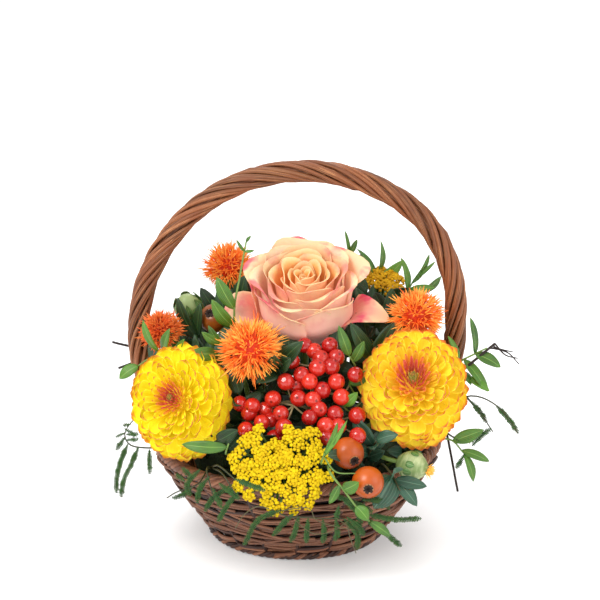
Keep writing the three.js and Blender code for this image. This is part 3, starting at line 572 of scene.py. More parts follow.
# %% Streaked skins
def streaked_skin(name, dark, middle, light, along, roughness=0.55):
    """Bark or rind with streaks along a rod, whose length is about `along` times its girth."""
    material, tree = new_material(name, roughness)
    random, _, _ = tone(tree)
    u, v = uv_along(tree)
    where = node(tree, "ShaderNodeCombineXYZ", {
        "X": maths(tree, "MULTIPLY", u, 5.0),
        "Y": maths(tree, "MULTIPLY", v, along),
        "Z": maths(tree, "MULTIPLY", random, 37.0),
    })
    streak = node(tree, "ShaderNodeTexNoise", {"Vector": where.outputs[0], "Scale": 1.0, "Detail": 5.0})
    shade = ramp(tree, streak.outputs["Fac"], [(0.36, dark), (0.5, middle), (0.65, light)])
    wet = mottle(tree, 90, 0.4, 0.7)
    worn = mix(tree, wet.outputs["Mask"], shade, middle)
    face = lit(tree, worn, to_range(tree, random, 0, 1, 0.62, 1.25))
    finish_material(tree, face, streak.outputs["Fac"], 0.5, 0.0006)
    return material


WALL_WILLOW = streaked_skin("wall_willow", colour(0x2E1A12), colour(0x7C4C34), colour(0xB8805C), 60)
STAKE_WILLOW = streaked_skin("stake_willow", colour(0x1E100C), colour(0x47281D), colour(0x6E4433), 6)
HANDLE_BARK = streaked_skin("handle_bark", colour(0x2A140C), colour(0x844A28), colour(0xCC8E5C), 45, 0.5)
print("willow:", WALL_WILLOW.name, STAKE_WILLOW.name, HANDLE_BARK.name)

# %% [markdown]
# ## A rope of rods
# The foot and the border of the basket are ropes: a few strands wound round each other and
# closed into a ring. Each strand is a circle with a small turning offset, swept as a closed rod.

# %% Twisted rings
def round_line(angle, radius, height):
    """The point at an angle and a radius round the basket's middle."""
    return radius * math.cos(angle), radius * math.sin(angle), height


def twist_ring(bunch, radius, height, strands, helix, thick, turns, seed=0):
    """Strands twisted round each other into a closed ring."""
    steps = turns * 8
    for k in range(strands):
        line = []
        for i in range(steps):
            angle = TURN * i / steps
            phase = turns * angle + TURN * k / strands
            out = radius + helix * math.cos(phase) + 0.2 * math.sin(5 * angle + k)
            line.append(round_line(angle, out, height + helix * math.sin(phase)))
        mesh = rod(line, [thick] * steps, 6, closed=True)
        stamp(bunch, mesh, Matrix.Identity(4), (0.5 + 0.5 * draw(k + seed), 0, 0))


print("rings can be twisted")

# %% [markdown]
# ## The woven wall: stakes and rods
# Upright stakes stand round the base, and rods pass in front of one stake and behind the next.
# The rods climb a little as they go round, in pairs on the same side of a stake, which gives the
# slanting bands of the real wall. Each rod is one long spiral, so the bands come from the rule
# alone.

# %% Stakes and woven rods
FOOT_RADIUS, FLARE, WALL_HEIGHT = 56, 0.64, 58
STAKES, STAKE_RADIUS = 18, 1.7
RODS, ROD_RADIUS = 16, 1.15
ROD_START, RISE = 1.6, 32
SWING = 2.3


def wall_radius(z):
    return FOOT_RADIUS + FLARE * z


def set_stakes(bunch):
    for k in range(STAKES):
        angle = TURN * (k + 0.5) / STAKES
        line = [round_line(angle, wall_radius(z) - 1.4, z) for z in (1.9, 20, 40, 61)]
        add_rod(bunch, line, STAKE_RADIUS, 1.5, 6, (0.2 + 0.05 * draw(k), 0, 0))


def weave_rods(bunch):
    stations = STAKES * 7
    for k in range(RODS):
        side = 1 if (k // 2) % 2 == 0 else -1
        line, radii = [], []
        for i in range(int(stations * 60 / RISE)):
            angle = TURN * (i / stations + k / RODS)
            z = ROD_START + RISE * i / stations
            z += 0.6 * math.sin(5 * angle + 7 * k) + 0.5 * math.sin(13 * angle + k)
            if z > WALL_HEIGHT + 0.6:
                break
            front = math.tanh(2.0 * math.cos(STAKES / 2 * angle)) * side
            r = wall_radius(z) - 1.3 + SWING * front + 0.25 * math.sin(4 * angle + 3 * k)
            line.append(round_line(angle, r, z))
            radii.append(ROD_RADIUS * (1 + 0.12 * math.sin(3 * angle + 5 * k)))
        stamp(bunch, rod(line, radii, 6), Matrix.Identity(4), (0.5 + 0.5 * draw(k + 4), 0, 0))


print(f"wall: {STAKES} stakes, {RODS} rods, {2 * wall_radius(WALL_HEIGHT):.0f} mm wide at the top")

# %% [markdown]
# ## The woven wall: foot and stray rods
# A rope closes the foot of the wall. Real wicker also has loose rods that leave the pattern and
# run aslant over the others, and they are what makes it look hand made, so thirty-four short
# ones lie over the weave. The stakes take a darker bark, found by their low tone.

# %% Close the wall
STRAYS = 34
FOOT_HEIGHT = 2.7
STAKE_TONE = 0.26


def lay_strays(bunch):
    for k in range(STRAYS):
        start = TURN * k / STRAYS + 0.3 * draw(k)
        reach = 0.9 + 0.4 * draw(k + 2)
        low = 16 + 30 * (0.5 + 0.5 * draw(k + 4))
        line = []
        for i in range(17):
            angle = start + reach * i / 16
            z = low + 9 * draw(k + 6) * (i / 8 - 1) + 0.6 * math.sin(3 * angle + k)
            line.append(round_line(angle, wall_radius(z) + 1.7 + 0.7 * math.sin(STAKES / 2 * angle), z))
        mesh = rod(line, [ROD_RADIUS * 0.85] * 17, 6)
        stamp(bunch, mesh, Matrix.Identity(4), (0.6 + 0.4 * draw(k + 9), 0, 0))


def mark_stakes(bunch):
    """Faces of the stakes, whose tone is low, take the darker second material."""
    layer = bunch.verts.layers.float_color["tone"]
    for face in bunch.faces:
        corner = face.verts[0]
        face.material_index = 1 if corner[layer][0] < STAKE_TONE and corner.co.z < 61.5 else 0


def weave_wall():
    bunch = bmesh.new()
    set_stakes(bunch)
    weave_rods(bunch)
    foot = wall_radius(FOOT_HEIGHT) + 0.3
    twist_ring(bunch, foot, FOOT_HEIGHT, strands=3, helix=1.25, thick=1.35, turns=26)
    lay_strays(bunch)
    mark_stakes(bunch)
    piece("woven_wall", bunch, [WALL_WILLOW, STAKE_WILLOW], ["basket_wall"])


weave_wall()

# %% [markdown]
# ## Border and base
# The border is a rope of five rods laid round the top of the wall, where a weaver bends the
# stakes down and tucks them in. The base is woven flat over crossed spokes: ring after ring
# passes over one spoke and under the next.

# %% Border and base
def lay_border():
    bunch = bmesh.new()
    twist_ring(bunch, 91.5, 62.6, strands=5, helix=2.5, thick=1.85, turns=24, seed=9)
    piece("laid_border", bunch, [WALL_WILLOW], ["basket_border"])


BASE_HEIGHT, BASE_REACH, BASE_ROD = 3.4, 52, 1.6
BASE_RINGS, RING_STEP = 15, 3


def weave_base():
    bunch = bmesh.new()
    for k in range(STAKES // 2):
        angle = TURN * (k + 0.5) / STAKES
        reach = Vector((math.cos(angle), math.sin(angle), 0)) * BASE_REACH
        height = Vector((0, 0, BASE_HEIGHT))
        add_rod(bunch, [height - reach, height, height + reach], BASE_ROD, BASE_ROD, 6, (0.3, 0, 0))
    steps = STAKES * 4
    for k in range(BASE_RINGS):
        line = []
        for i in range(steps):
            angle = TURN * i / steps
            z = BASE_HEIGHT - 0.1 + (1.5 if k % 2 else -1.5) * math.cos(STAKES / 2 * angle)
            line.append(round_line(angle, 9 + RING_STEP * k, z))
        mesh = rod(line, [BASE_ROD] * steps, 6, closed=True)
        stamp(bunch, mesh, Matrix.Identity(4), (0.5 + 0.5 * draw(k + 20), 0, 0))
    piece("woven_base", bunch, [WALL_WILLOW], ["basket_base"])


lay_border()
weave_base()

# %% [markdown]
# ## The handle
# The handle is a bundle of rods twisted round a core, along the same arch as the solid. Its
# ends are pushed down inside the wall, so it is thinner there, and the arch leans a little to
# one side, as it does in the photo. Each rod wanders, swells and has a few knots.

# %% Twist the handle
HOOP_SIDE = [(58.5, 18), (69.5, 40), (79, 62), (90.5, 85), (99.5, 105), (103.5, 138), (97.5, 177), (76, 213),
             (41, 236.5)]
HOOP_TOP = 244.5
HOOP_LEAN = 4.5
HOOP_TWIST = 0.055
HOOP_RODS = 12
HOOP_STEPS = 150
END_THICKNESS, ARCH_THICKNESS = 4.1, 7.2
CORE_THICKNESS = 2.9


def handle_line():
    """The middle line of the arch, from its left end to its right end."""
    lean = [HOOP_LEAN * smoothstep(150, 200, z) for _, z in HOOP_SIDE]
    knots = [(d - x, 0, z) for (x, z), d in zip(HOOP_SIDE, lean)] + [(HOOP_LEAN, 0, HOOP_TOP)]
    knots += [(x + d, 0, z) for (x, z), d in zip(HOOP_SIDE[::-1], lean[::-1])]
    return smooth_line(knots, HOOP_STEPS)


def twist_handle():
    """Rods round a core. The last number, k == HOOP_RODS, is the core itself."""
    bunch = bmesh.new()
    line = handle_line()
    length = sum((b - a).length for a, b in zip(line, line[1:]))
    back = Vector((0, 1, 0))
    for k in range(HOOP_RODS + 1):
        way, radii = [], []
        for i, centre in enumerate(line):
            along = (line[min(i + 1, HOOP_STEPS)] - line[max(i - 1, 0)]).normalized()
            outward = along.cross(back)
            share = i / HOOP_STEPS
            full = lerp(END_THICKNESS, ARCH_THICKNESS, smoothstep(25, 80, centre.z))
            thick = full * (0.205 + 0.025 * math.sin(9 * share + 5 * k))
            wander = 0.16 * math.sin(14 * share + 2.4 * k)
            angle = TURN * k / HOOP_RODS + share * length * HOOP_TWIST + wander
            reach = 0 if k == HOOP_RODS else full - thick + 0.25 * math.sin(23 * share + 4 * k)
            way.append(centre + back * reach * math.cos(angle) + outward * reach * math.sin(angle))
            knot = 1.35 if draw(i + 17 * k) > 0.97 else 1
            radii.append(thick * (CORE_THICKNESS if k == HOOP_RODS else knot))
        stamp(bunch, rod(way, radii, 8), Matrix.Identity(4), (0.5 + 0.5 * draw(k + 31), 0, 0))
    piece("twisted_handle", bunch, [HANDLE_BARK], ["handle"])
    print(f"handle: {length:.0f} mm round the arch")


twist_handle()

# %% [markdown]
# ## Film and foam
# Under the flowers a thin black film lines the basket and holds the wet foam. Both solids are
# already right, so they stay, and only get their materials: the film a crinkled soft shine,
# the foam fine pores.

# %% Film and foam
def dress(name, material):
    """Gives a node of the frame that stays its new material."""
    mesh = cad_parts[name].data
    mesh.materials.clear()
    mesh.materials.append(material)
    print(f"{name} is now {material.name}")


def film_material():
    material, tree = new_material("black_film", 0.3)
    folds = mottle(tree, 45)
    base = mix(tree, folds.outputs["Mask"], colour(0x101114), colour(0x26282C))
    finish_material(tree, base, folds.outputs["Height"], 0.8, 0.003)
    return material


def foam_material():
    material, tree = new_material("wet_foam", 0.9)
    pores = mottle(tree, 900)
    damp = mottle(tree, 40)
    base = mix(tree, pores.outputs["Mask"], colour(0x16240F), colour(0x2E4A24))
    base = mix(tree, damp.outputs["Mask"], base, colour(0x121D0D))
    finish_material(tree, base, pores.outputs["Height"], 0.9, 0.001)
    return material


dress("liner", film_material())
dress("foam", foam_material())

# %% [markdown]
# ## Petals
# Petals let a little light through and have fine lines from root to tip. Every bloom's
# material mixes an inner and an outer face, which the blades carry in their tone, and shades
# them along the petal with a ramp over V. A second ramp over the petal's place in the flower
# turns the heart or the last petals towards another colour, and the tips of the outer petals may
# be blushed with blotches. Each petal also glows faintly in its own colour: a painted glow that
# stands for the light shining through it and lightens its shade.

# %% Petal material
def petal(name, inner, outer, edge, by_layer, edge_from=0.88, lines=7, painted_glow=0.1, blush=None):
    """inner and outer are ramp stops along the petal. by_layer has (place, amount, colour) stops."""
    material, tree = new_material(name, 0.62)
    random, layer, side = tone(tree)
    _, v = uv_along(tree)
    face = mix(tree, side, ramp(tree, v, inner), ramp(tree, v, outer))
    mask = ramp(tree, layer, [(place, (amount,) * 3 + (1,)) for place, amount, _ in by_layer])
    tint = ramp(tree, layer, [(place, shade) for place, _, shade in by_layer])
    face = mix(tree, mask, face, tint)
    face = mix(tree, to_range(tree, v, edge_from, 1.0, 0.0, 0.8), face, edge)
    if blush:
        blotch = mottle(tree, 55, 0.5, 0.63)
        late = maths(tree, "MULTIPLY", blotch.outputs["Mask"], to_range(tree, v, 0.5, 1.0))
        face = mix(tree, maths(tree, "MULTIPLY", late, layer), face, blush)
    fine = ribs(tree, lines)
    face = mix(tree, 0.06, face, mix(tree, fine.outputs["Mask"], face, edge))
    face = lit(tree, face, to_range(tree, random, 0, 1, 0.9, 1.08))
    # The emission is a painted glow of the petal's own colour, for light shining through it and into its
    # shade.
    finish_material(
        tree, face, fine.outputs["Mask"], 0.12, 0.0003,
        subsurface_weight=0.12, subsurface_scale=0.004, emission_color=face, emission_strength=painted_glow,
    )
    print("petals:", name)
    return material


# %% [markdown]
# ## The rose: its petals
# A garden rose opens in rings of petals. The heart is a tight roll, each ring outside it leans
# out more, and the last petals fall open with their lips rolled back. One formula bends every
# petal, and a table of rings says how wide, tall and open each ring is. The last ring is only
# three petals at their own angles, at the sides and behind. The outer petals at the front stay
# nearly shut, so that the rose shows its deep cup from the front, as in the photo. A little of
# each draw goes into the size, the wave and the turn, so that no two petals are alike.

# %% Rose petals
ROSE_AT, ROSE_AXIS = Vector((5, 1, 128)), Vector((0, -0.21, 0.978))
ROSE_RINGS = [
    {"count": 3, "foot": 2, "belly": 3.4, "lip": 2.2, "rise": 24, "top": 49, "half": 1.5, "roll": 0},
    {"count": 3, "foot": 3.5, "belly": 6.2, "lip": 5.2, "rise": 22, "top": 50.5, "half": 1.35, "roll": 2},
    {"count": 4, "foot": 5, "belly": 9.6, "lip": 9.4, "rise": 20, "top": 51.5, "half": 1.15, "roll": 4},
    {"count": 4, "foot": 7, "belly": 13.5, "lip": 14, "rise": 18, "top": 51.5, "half": 1.05, "roll": 6},
    {"count": 4, "foot": 8, "belly": 17.8, "lip": 19, "rise": 15, "top": 51.5, "half": 1.0, "roll": 8},
    {"count": 5, "foot": 9, "belly": 22.4, "lip": 24.5, "rise": 12, "top": 52, "half": 0.9, "roll": 14},
    {"count": 5, "foot": 11, "belly": 27, "lip": 30.5, "rise": 8, "top": 52, "half": 0.86, "roll": 22},
    {"count": 5, "foot": 13, "belly": 30.5, "lip": 37, "rise": 5, "top": 49, "half": 0.78, "roll": 45},
    {"angles": (-0.16, 3.35, 1.5), "foot": 14, "belly": 30, "lip": 46, "rise": 5, "top": 36, "half": 0.46,
     "roll": 38},
]


def rose_petal(ring, angle, seed):
    """One petal of a ring as a blade."""
    tall = ring["top"] + 2.4 * draw(seed)
    lip = ring["lip"] * (1 + 0.05 * draw(seed + 1))
    wave = 0.08 * ring["belly"]
    point = 0.8 + 0.6 * draw(seed + 2)
    shut = smoothstep(0.2, 0.9, -math.sin(angle)) * smoothstep(10, 40, ring["roll"])
    roll = ring["roll"] * (1 - 0.8 * shut)
    lip = lerp(lip, 1.05 * ring["belly"], 0.85 * shut)

    def place(u, t):
        short = t * (1 - (0.17 + 0.07 * point) * abs(u) ** 3)
        short += 0.035 * point * t * math.exp(-((u / 0.25) ** 2))
        swell = math.sin(min(short, 0.5) * math.pi)
        past = max(short - 0.4, 0) / 0.6
        r = lerp(ring["foot"], ring["belly"], swell) + (lip - ring["belly"]) * past ** 2
        curl = max(short - 0.84, 0) / 0.16
        r += (1.2 + 0.05 * roll) * curl ** 2
        r += 0.06 * ring["belly"] * u * min(1, 2 * t)
        r += wave * math.sin(4.5 * u + 3 * seed) * t ** 3
        spread = ring["half"] * (0.5 + 0.5 * math.sin(math.pi * min(0.12 + t * 0.6, 0.62)))
        z = lerp(ring["rise"], tall, short ** 0.85) - roll * max(short - 0.7, 0) ** 2
        z -= (0.6 + 0.05 * roll) * curl ** 3
        theta = angle + u * spread
        x, y = r * math.cos(theta), r * math.sin(theta)
        return x, y, z + (3.2 + 0.27 * y) * t

    return blade(place, 12, 14, 0.45)


print("rose petals:", sum(ring.get("count", 3) for ring in ROSE_RINGS))

# %% [markdown]
# ## The rose: putting it together
# The petals are stamped ring by ring round a flattened ball, which closes the flower below. The
# colour goes from a warm orange deep between the petals to a pale peach at the lips; that orange
# is partly the rose's own colour and partly painted shade in the creases. The outside of the outer
# petals is pinker, with raspberry blotches near their tips. The last ring turns a dusky pink,
# partly its own colour and partly painted shade.

# %% Make the rose
def rose_angles(k, ring):
    """Where the petals of ring k stand round the flower."""
    count = ring.get("count")
    return ring.get("angles") or [TURN * i / count + 0.7 * k + 0.35 for i in range(count)]


def rose_material():
    return petal(
        "rose_petals",
        # The deep orange at the petals' root is partly the rose's own colour and partly painted shade in the
        # creases.
        inner=[(0.0, colour(0xCE500E)), (0.45, colour(0xE27C34)), (0.75, colour(0xEAA65C)),
               (1.0, colour(0xEEC68A))],
        outer=[(0.0, colour(0xF494A4)), (0.45, colour(0xFAB0AA)), (0.75, colour(0xF6BC9E)),
               (1.0, colour(0xF4CCAA))],
        edge=colour(0xF0CC9A),
        # The last stop turns the outermost ring dusky pink: partly its own colour, partly painted shade.
        by_layer=[(0.0, 0.6, colour(0xF0A646)), (0.5, 0.3, colour(0xF0B268)), (0.75, 0.55, colour(0xF2D8C8)),
                  (0.9, 0.5, colour(0xFAC8B0)), (1.0, 0.8, colour(0xD4807C))],
        blush=colour(0xD82C5C), lines=9, painted_glow=0.09,
    )


def make_rose():
    bunch = bmesh.new()
    pose = facing(ROSE_AT, ROSE_AXIS)
    seed = 0
    for k, ring in enumerate(ROSE_RINGS):
        for angle in rose_angles(k, ring):
            seed += 1
            shape = rose_petal(ring, angle + 0.15 * draw(seed), seed)
            stamp(bunch, shape, pose, (0.5 + 0.5 * draw(seed + 5), k / (len(ROSE_RINGS) - 1), None))
    core = Matrix.Translation((0, 0, 6)) @ Matrix.Diagonal((13, 13, 9, 1))
    stamp(bunch, ball(1), pose @ core, (0.5, 1.0, 1.0))
    piece("rose", bunch, [rose_material()], ["rose_bloom"], sharp=60)


make_rose()

# %% [markdown]
# ## The dahlias: one floret
# A ball dahlia is made of spoon-shaped florets. In the heart they are short, narrow and rolled,
# and further out they open, grow and get a small hood at the tip. Age, from 0 in the heart to 1
# outside, sets all of that in one formula, so twelve shapes from young to old are enough.

# %% Dahlia florets
DAHLIA_RADIUS = 36
FLORET_KINDS = 12
DAHLIAS = {
    "left": {"at": (-73, -55, 108), "axis": (-0.3, -0.85, 0.44), "stretch": (0.9, 1, 1.04)},
    "right": {"at": (74, -50, 115), "axis": (-0.068, -0.774, 0.629), "stretch": (0.95, 1, 1.07)},
}


def floret_length(age):
    return lerp(10, 24, smoothstep(0.1, 0.5, age))


def dahlia_floret(age):
    """A spoon along Z whose hollow looks towards -Y."""
    wide = lerp(0.8, 6.0, smoothstep(0.2, 0.62, age))
    long = floret_length(age)
    cup = lerp(1.8, 0.85, smoothstep(0.1, 0.9, age))
    bow = lerp(-0.1, 0.2, smoothstep(0.1, 1.0, age))
    hood = lerp(0.2, 0.5, smoothstep(0.1, 0.5, age))

    def bend(u, t):
        tip = min(max((t - 0.78) / 0.22, 0), 0.995)
        half = wide * (0.32 + 0.68 * smoothstep(0.1, 0.72, t)) * (1 - tip ** 2.4) ** 0.5
        angle = cup * (1.15 - 0.3 * t)
        x = half * math.sin(u * angle) / angle
        y = -half * (1 - math.cos(u * angle)) / angle + bow * long * t * t - hood * wide * tip ** 2
        return x, y, long * t

    return blade(bend, 6, 9, 0.4)


FLORET_AGES = [(k + 0.5) / FLORET_KINDS for k in range(FLORET_KINDS)]
FLORETS = [dahlia_floret(age) for age in FLORET_AGES]
print("floret lengths in mm:", [round(floret_length(age)) for age in FLORET_AGES])

# %% [markdown]
# ## The dahlias: the whole flower
# Each floret is turned from the last by the golden angle, the way real ones grow, so they fill the
# ball evenly with no rows to plan. The ball is stretched to a little taller than wide. The colour
# goes by the floret's place: a green eye, a red and pink heart, and yellow with thin rusty rims.

# %% Make the dahlias
FLORET_COUNT = 290
LAST_FLORET = 2.05


def make_dahlia(name, at, axis, stretch, material):
    bunch = bmesh.new()
    pose = Matrix.Translation(at) @ Matrix.Diagonal((*stretch, 1)) @ facing((0, 0, 0), axis)
    stamp(bunch, ball(17, 20, 12), pose, (0.2, 0.8, 1.0))
    for i in range(FLORET_COUNT):
        polar = LAST_FLORET * ((i + 0.5) / FLORET_COUNT) ** 1.1 + 0.02 * draw(i + 2)
        age = min(max(polar, 0) / 1.5, 0.999)
        kind = int(age * FLORET_KINDS)
        reach = lerp(25, DAHLIA_RADIUS, smoothstep(0.1, 0.6, age)) * (1 + (0.02 + 0.03 * age) * draw(i))
        loose = 0.04 + 0.1 * age
        out = Matrix.Rotation(GOLDEN_ANGLE * i + loose * draw(i + 3), 4, "Z") @ Matrix.Rotation(polar, 4, "Y")
        turn = Matrix.Rotation(-math.pi / 2 + 3 * loose * draw(i + 7), 4, "Z")
        tilt = Matrix.Rotation(loose * draw(i + 9), 4, "X")
        root = Matrix.Translation((0, 0, reach - floret_length(FLORET_AGES[kind])))
        stamp(bunch, FLORETS[kind], pose @ out @ root @ turn @ tilt,
              (0.5 + 0.5 * draw(i + 11), polar / LAST_FLORET, None))
    piece(name, bunch, [material], [f"{name}_bloom"], sharp=60)


def dahlia_material(name, body, deep_root_and_shade, rim, heart, green, red):
    """Yellow florets with a thin darker rim. green and red say how far the heart's colours reach."""
    return petal(
        name,
        # A floret is deeper in colour at its root: partly its own colour, partly painted shade in the hollows
        # of the ball.
        inner=[(0.0, deep_root_and_shade), (0.5, body), (0.9, body), (0.97, rim), (1.0, rim)],
        outer=[(0.0, deep_root_and_shade), (0.5, body), (0.9, body), (1.0, rim)],
        edge=rim, edge_from=0.92,
        by_layer=[
            (0.0, 1.0, colour(0x7CA03C)), (green, 1.0, heart), (1.4 * green, 0.9, colour(0xC83048)),
            (red, 0.85, colour(0xE04C5C)), (1.25 * red, 0.4, colour(0xEC802E)),
            (1.5 * red, 0.0, colour(0xF0D820)), (0.85, 0.0, colour(0xE8A828)), (1.0, 0.5, colour(0xE09028)),
        ],
        lines=5, painted_glow=0.12,
    )


YELLOW_FLORETS = dahlia_material("yellow_florets", body=colour(0xF6E424), deep_root_and_shade=colour(0xF6D012),
                                 rim=colour(0xC87428), heart=colour(0x98A84A), green=0.045, red=0.18)
GOLDEN_FLORETS = dahlia_material("golden_florets", body=colour(0xF6DA34), deep_root_and_shade=colour(0xF6C01E),
                                 rim=colour(0xCC6030), heart=colour(0xA8B858), green=0.08, red=0.22)
make_dahlia("dahlia_left", **DAHLIAS["left"], material=YELLOW_FLORETS)
make_dahlia("dahlia_right", **DAHLIAS["right"], material=GOLDEN_FLORETS)

# %% [markdown]
# ## Leaves, stems and twigs: materials
# Leaves are darker above than below, with a pale midrib and slanting veins. Each leaf's tone
# moves it between a dark and a light green. Stems are one colour with soft blotches, and twigs
# are almost black.

# %% Leaf and stem materials
def leaf_material(name, dark, light, under, rib, rough=0.42):
    """A green between dark and light for each leaf, another under it, and one for its ribs."""
    dark, light, under, rib = (colour(code) for code in (dark, light, under, rib))
    material, tree = new_material(name, rough)
    random, layer, side = tone(tree)
    veins = ribs(tree, 9, 0.35)
    cloud = mottle(tree, 90)
    face = mix(tree, random, dark, light)
    face = mix(tree, cloud.outputs["Mask"], face, mix(tree, 0.5, face, light))
    face = mix(tree, veins.outputs["Mask"], face, mix(tree, 0.35, face, rib))
    face = mix(tree, veins.outputs["Midrib"], face, mix(tree, 0.7, face, rib))
    face = mix(tree, side, mix(tree, 0.6, face, under), face)
    finish_material(tree, face, veins.outputs["Mask"], 0.3, 0.0003,
                    subsurface_weight=0.08, subsurface_scale=0.003)
    return material


def stem_material(name, dark, light, rough=0.5):
    material, tree = new_material(name, rough)
    random, _, _ = tone(tree)
    cloud = mottle(tree, 120)
    face = mix(tree, random, dark, light)
    face = mix(tree, cloud.outputs["Mask"], face, mix(tree, 0.4, face, light))
    finish_material(tree, face, cloud.outputs["Height"], 0.3, 0.0004)
    return material


LIGHT_LEAF = leaf_material("light_leaf", 0x224E14, 0x568A22, 0x6A9640, 0x7EA64C)
# The dark leaves' near-black green is partly their own colour and partly painted shade.
DARK_LEAF = leaf_material("dark_leaf", 0x0E2614, 0x22461E, 0x3A5A34, 0x44683A, 0.45)
BLUE_LEAF = leaf_material("blue_leaf", 0x183C2A, 0x2C563E, 0x446C54, 0x5A8066)
FERN_LEAF = leaf_material("fern_leaf", 0x183E10, 0x32601E, 0x325A22, 0x345420, 0.65)
GREEN_STEM = stem_material("green_stem", colour(0x4E7030), colour(0x7E9C4C))
THIN_STEM = stem_material("thin_stem", colour(0x2A3218), colour(0x55502C))
TWIG_BARK = stem_material("twig_bark", colour(0x17100E), colour(0x2E1F1A), 0.7)
print("leaves:", ", ".join(material.name for material in (LIGHT_LEAF, DARK_LEAF, BLUE_LEAF, FERN_LEAF)))

# %% [markdown]
# ## Stems
# Every flower stands on a cut stem that goes down into the wet foam, or into the black film
# beside it. A rod through four points is enough: the cut end, the top of the foam, a point
# behind the flower on its own axis, and the back of the flower.

# %% Stems
STEM_END = 54
FOAM_TOP = 76
HIP_LEFT = {"at": (-54, -5, 147), "axis": (-0.2, -0.6, 0.5)}
BUD_LEFT = {"at": (-71, 9, 150), "axis": (-0.2, -0.5, 0.8)}
BUD_RIGHT = {"at": (73, -76, 73), "axis": (0.8, -0.35, -0.12)}


def stem_line(at, axis, foot, run, back):
    """Points from the foot of a cut stem to the back of its bloom."""
    at, aim = Vector(at), Vector(axis).normalized()
    low = Vector((*foot, STEM_END))
    top = Vector((*foot, FOAM_TOP))
    return smooth_line([low, top, at - aim * run, at - aim * back], 14)


def make_stem(name, at, axis, foot, run, back, radius, material=GREEN_STEM):
    bunch = bmesh.new()
    add_rod(bunch, stem_line(at, axis, foot, run, back), radius, radius * 0.9, 10)
    piece(name, bunch, [material], [name])


def make_hip_stalk():
    """The forked stalk of the two front hips."""
    bunch = bmesh.new()
    add_rod(bunch, smooth_line([(20, -38, 54), (24, -46, 60), (30, -64, 76), (29, -77, 86)], 10), 1.6, 1.3, 8)
    add_rod(bunch, smooth_line([(30, -64, 76), (38, -82, 75), (44, -92, 72)], 8), 1.4, 1.2, 8)
    piece("hip_front_stem", bunch, [THIN_STEM], ["hip_front_stem"])


make_stem("rose_stem", ROSE_AT, ROSE_AXIS, (4, 4), 20, 2, 2.8)
for side, foot in (("left", (-38, -30)), ("right", (42, -28))):
    make_stem(f"dahlia_{side}_stem", DAHLIAS[side]["at"], DAHLIAS[side]["axis"], foot, 22, 8, 2.3)
make_stem("hip_left_stem", **HIP_LEFT, foot=(-32, -4), run=22, back=8, radius=1.5, material=THIN_STEM)
make_stem("bud_left_stem", **BUD_LEFT, foot=(-36, 6), run=22, back=8, radius=1.6)
make_stem("bud_right_stem", **BUD_RIGHT, foot=(44, -44), run=22, back=8, radius=1.6)
make_hip_stalk()

# %% [markdown]
# ## The safflowers: one thread
# A safflower is a brush of fine orange florets, each a thread that splits into a few curling
# tips. A thread is one rod with three thinner rods from its end, with four sides each, because
# it is stamped a thousand times. The material is deep red at the foot of a thread and bright
# orange at its tips, and makes old flowers redder. The threads also glow a little in their own
# colour, a painted glow that brightens the brush.

# %% Safflower threads
SAFFLOWERS = [
    {"at": (-45, 30, 171), "axis": (-0.25, -0.25, 0.93), "radius": 16.5, "foot": (-22, 15), "red": 0.15},
    {"at": (-87, -18, 143), "axis": (-0.45, -0.45, 0.77), "radius": 13.5, "foot": (-46, -8), "red": 0.65},
    {"at": (-29, -52, 142), "axis": (-0.15, -0.8, 0.58), "radius": 20.5, "foot": (-15, -30), "red": 0.0},
    {"at": (77, -18, 153), "axis": (0.35, -0.5, 0.79), "radius": 18, "foot": (40, -8), "red": 0.1},
]
THREAD_LENGTH = 14


def make_thread(seed):
    """A forked thread along Z."""
    shape = bmesh.new()
    long = THREAD_LENGTH
    lean = 0.08 * long * draw(seed)
    fork = Vector((lean, 0.05 * long * draw(seed + 1), 0.5 * long))
    stem = rod([Vector((0, 0, 0)), Vector((lean * 0.3, 0, 0.28 * long)), fork], [0.36, 0.34, 0.34], 4)
    stamp(shape, stem, Matrix.Identity(4), (0.5, 0.15, 0.5))
    for k in range(3):
        angle = TURN * (k + 0.3 * draw(seed + k)) / 3
        aim = Vector((math.cos(angle), math.sin(angle), 0))
        curl = 0.1 + 0.04 * draw(seed + 2 * k)
        rise = 0.36 + 0.12 * draw(seed + k)
        middle = fork + aim * curl * long + Vector((0, 0, 0.5 * rise * long))
        end = fork + aim * (curl + 0.06 + 0.05 * draw(seed + 3 * k)) * long + Vector((0, 0, rise * long))
        stamp(shape, rod([fork, middle, end], [0.32, 0.36, 0.14], 4), Matrix.Identity(4), (0.5, 1.0, 0.5))
    return small_mesh(shape)


def thread_material():
    material, tree = new_material("safflower_threads", 0.6)
    random, layer, red = tone(tree)
    face = mix(tree, random, colour(0xFA6C14), colour(0xFFBE50))
    face = mix(tree, layer, colour(0xD2380C), face)
    face = mix(tree, red, face, mix(tree, layer, colour(0x8C1E08), colour(0xC8401A)))
    # The emission is a painted glow that brightens the threads.
    finish_material(tree, face, emission_color=face, emission_strength=0.16)
    return material


THREADS = [make_thread(seed) for seed in range(6)]
THREAD_ORANGE = thread_material()
BRACT_GREEN = leaf_material("bracts", 0x3E6A2A, 0x64904A, 0x7EA064, 0x9CB87C)
print("faces of a thread:", len(THREADS[0].polygons))

# %% [markdown]
# ## The safflowers: the whole flower
# The threads stand round a red ball, turned by the golden angle and crowded towards the top.
# About one in eight is longer and strays out of the brush. Below the brush sits a green head,
# also a ball, in overlapping bracts, which is one piece with its stem.

# %% Make the safflowers
THREAD_COUNT = 250
HEAD_BRACTS = 22


